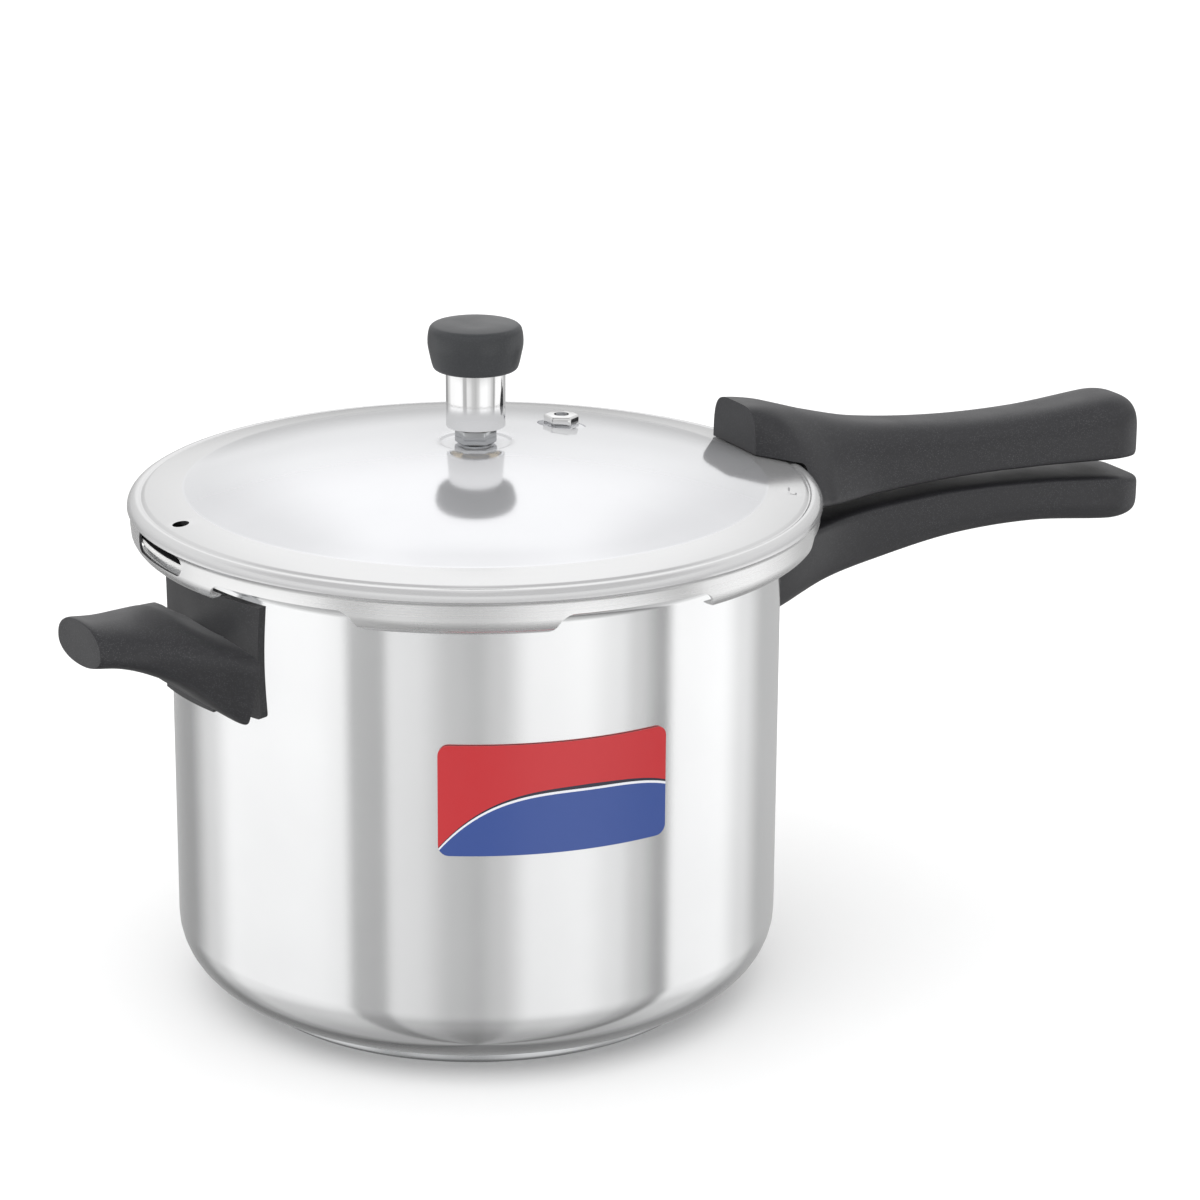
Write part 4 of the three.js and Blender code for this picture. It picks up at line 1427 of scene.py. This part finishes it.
@dataclass
class Studio:
    """The pale room, its soft light and the camera."""

    bearing_deg: float = -116.7
    distance: float = 1.292
    height: float = 0.5506
    lens: float = 117.5
    yaw_deg: float = 1.90
    pitch_deg: float = 17.74
    roll_deg: float = 0.41
    soft_panels: tuple[tuple[float, float], ...] = (
        (-180.0, 0.46), (-141.0, 0.30), (-122.0, 0.66), (-106.0, 0.95), (-64.0, 1.0), (-53.0, 0.94),
        (-47.0, 0.46), (-37.0, 0.43), (-32.0, 0.80), (-24.0, 0.77), (-8.0, 0.54),
        (0.0, 0.49), (8.0, 0.61), (22.0, 0.97),
        (40.0, 1.0), (55.0, 0.83), (64.0, 0.61), (75.0, 0.34), (82.0, 0.97), (106.0, 0.99), (122.0, 0.73),
        (140.0, 0.44), (180.0, 0.46),
    )

    def camera(self) -> None:
        """Set up the camera."""
        data = bpy.data.cameras.new("camera")
        data.sensor_width = 36.0
        data.lens = self.lens
        data.clip_end = 50.0
        camera = bpy.data.objects.new("camera", data)
        bpy.context.scene.collection.objects.link(camera)
        bearing = math.radians(self.bearing_deg)
        camera.location = (self.distance * math.cos(bearing), self.distance * math.sin(bearing), self.height)
        heading = bearing + math.pi - math.radians(self.yaw_deg)
        turn = (Matrix.Rotation(heading - math.pi / 2.0, 3, "Z")
                @ Matrix.Rotation(math.pi / 2.0 - math.radians(self.pitch_deg), 3, "X")
                @ Matrix.Rotation(math.radians(self.roll_deg), 3, "Z"))
        camera.rotation_mode = "QUATERNION"
        camera.rotation_quaternion = turn.to_quaternion()
        bpy.context.scene.camera = camera

    def floor(self) -> None:
        """Lay the pale floor."""
        mesh = bmesh.new()
        bmesh.ops.create_grid(mesh, x_segments=4, y_segments=4, size=12.0)
        data = bpy.data.meshes.new("floor")
        mesh.to_mesh(data)
        mesh.free()
        floor = bpy.data.objects.new("floor", data)
        bpy.context.scene.collection.objects.link(floor)
        desk = ShaderDesk("pale_floor")
        desk.feed(desk.shader.inputs["Base Color"], (0.97, 0.97, 0.97, 1.0))
        desk.feed(desk.shader.inputs["Roughness"], 0.9)
        desk.feed(desk.shader.inputs["Specular IOR Level"], 0.0)
        data.materials.append(desk.material)
        floor.visible_glossy = False

    def room_light(self) -> None:
        """Wrap the scene in soft panels that the steel mirrors."""
        world = bpy.data.worlds.new("studio")
        bpy.context.scene.world = world
        world.use_nodes = True
        tree = world.node_tree
        tree.nodes.clear()

        def node(kind: str, **settings: object) -> bpy.types.Node:
            """Add a node to the room's light."""
            made = tree.nodes.new(kind)
            for key, value in settings.items():
                setattr(made, key, value)
            return made

        def graph(operation: str, *values: object) -> bpy.types.NodeSocket:
            """Add a Math node to the room's light."""
            made = node("ShaderNodeMath", operation=operation)
            for socket, value in zip(made.inputs, values):
                if isinstance(value, bpy.types.NodeSocket):
                    tree.links.new(value, socket)
                else:
                    socket.default_value = value
            return made.outputs[0]

        def ramp(value: bpy.types.NodeSocket, stops: list[tuple[float, float]]) -> bpy.types.NodeSocket:
            """Read a level from a ramp of stops between 0 and 1."""
            made = node("ShaderNodeValToRGB")
            made.color_ramp.interpolation = "EASE"
            elements = made.color_ramp.elements
            elements[0].position, elements[1].position = stops[0][0], stops[-1][0]
            for place, _ in stops[1:-1]:
                elements.new(place)
            for element, (_, level) in zip(elements, stops):
                element.color = (level, level, level, 1.0)
            tree.links.new(value, made.inputs["Fac"])
            return made.outputs["Color"]

        direction = node("ShaderNodeTexCoord").outputs["Generated"]
        split = node("ShaderNodeSeparateXYZ")
        tree.links.new(direction, split.inputs[0])
        turned = node("ShaderNodeVectorRotate", rotation_type="Z_AXIS")
        tree.links.new(direction, turned.inputs["Vector"])
        turned.inputs["Angle"].default_value = -math.radians(self.bearing_deg)
        flat = node("ShaderNodeSeparateXYZ")
        tree.links.new(turned.outputs[0], flat.inputs[0])
        bearing = graph("ARCTAN2", flat.outputs["Y"], flat.outputs["X"])
        around = graph("ADD", graph("DIVIDE", bearing, FULL_TURN), 0.5)
        panels = ramp(around, [((deg + 180.0) / 360.0, level) for deg, level in self.soft_panels])
        rise = graph("ADD", graph("MULTIPLY", split.outputs["Z"], 0.5), 0.5)
        tall = ramp(rise, [(0.0, 0.50), (0.40, 0.54), (0.50, 0.68), (0.56, 0.76), (0.66, 0.88), (0.75, 1.0),
                           (0.85, 1.0), (0.885, 0.76), (0.93, 0.62), (1.0, 0.62)])
        wide = ramp(around, [(0.0, 1.0), (0.024, 0.98), (0.044, 0.70), (0.10, 0.68), (0.90, 0.68),
                             (0.956, 0.70), (0.976, 0.98), (1.0, 1.0)])
        back_light = node("ShaderNodeMix", data_type="RGBA", blend_type="MULTIPLY")
        back_light.inputs["Factor"].default_value = 1.0
        tree.links.new(tall, back_light.inputs["A"])
        tree.links.new(wide, back_light.inputs["B"])
        upper = back_light.outputs["Result"]
        lower_fade = ramp(rise, [(0.0, 0.30), (0.16, 0.52), (0.25, 0.76), (0.33, 1.0), (1.0, 1.0)])
        above = ramp(rise, [(0.0, 0.0), (0.44, 0.0), (0.56, 1.0), (1.0, 1.0)])
        mixed = node("ShaderNodeMix", data_type="RGBA")
        tree.links.new(above, mixed.inputs["Factor"])
        shaded = node("ShaderNodeMix", data_type="RGBA", blend_type="MULTIPLY")
        shaded.inputs["Factor"].default_value = 1.0
        tree.links.new(panels, shaded.inputs["A"])
        tree.links.new(lower_fade, shaded.inputs["B"])
        tree.links.new(shaded.outputs["Result"], mixed.inputs["A"])
        tree.links.new(upper, mixed.inputs["B"])
        background = node("ShaderNodeBackground")
        background.inputs["Strength"].default_value = 1.12
        tree.links.new(mixed.outputs["Result"], background.inputs["Color"])
        output = node("ShaderNodeOutputWorld")
        tree.links.new(background.outputs[0], output.inputs["Surface"])

    def lamps(self) -> None:
        """Hang a very wide soft light overhead that doesn't show in the steel."""
        data = bpy.data.lights.new("overhead", "SUN")
        data.energy = 2.1
        data.angle = math.radians(110.0)
        lamp = bpy.data.objects.new("overhead", data)
        lamp.location = (0.0, 0.0, 2.0)
        lamp.rotation_mode = "QUATERNION"
        lamp.rotation_quaternion = Vector((-0.25, -0.2, 1.0)).to_track_quat("Z", "Y")
        lamp.visible_glossy = False
        bpy.context.scene.collection.objects.link(lamp)

    def build(self) -> None:
        """Set up the studio."""
        bpy.context.scene.view_settings.view_transform = "Standard"
        self.camera()
        self.floor()
        self.room_light()
        self.lamps()
        LOG.info("studio is set")


def main() -> None:
    """Build the cooker in order."""
    logging.basicConfig(level=logging.INFO, format="%(name)s: %(message)s")
    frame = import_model()
    Studio().build()
    finishes: dict[str, bpy.types.Material] = {}
    for assembly in (PotBody, LidShell, Fittings, PressureWeight, Handles):
        assembly(frame, finishes).build()
        LOG.info("finished %s", assembly.__name__)


if __name__ == "__main__":
    main()
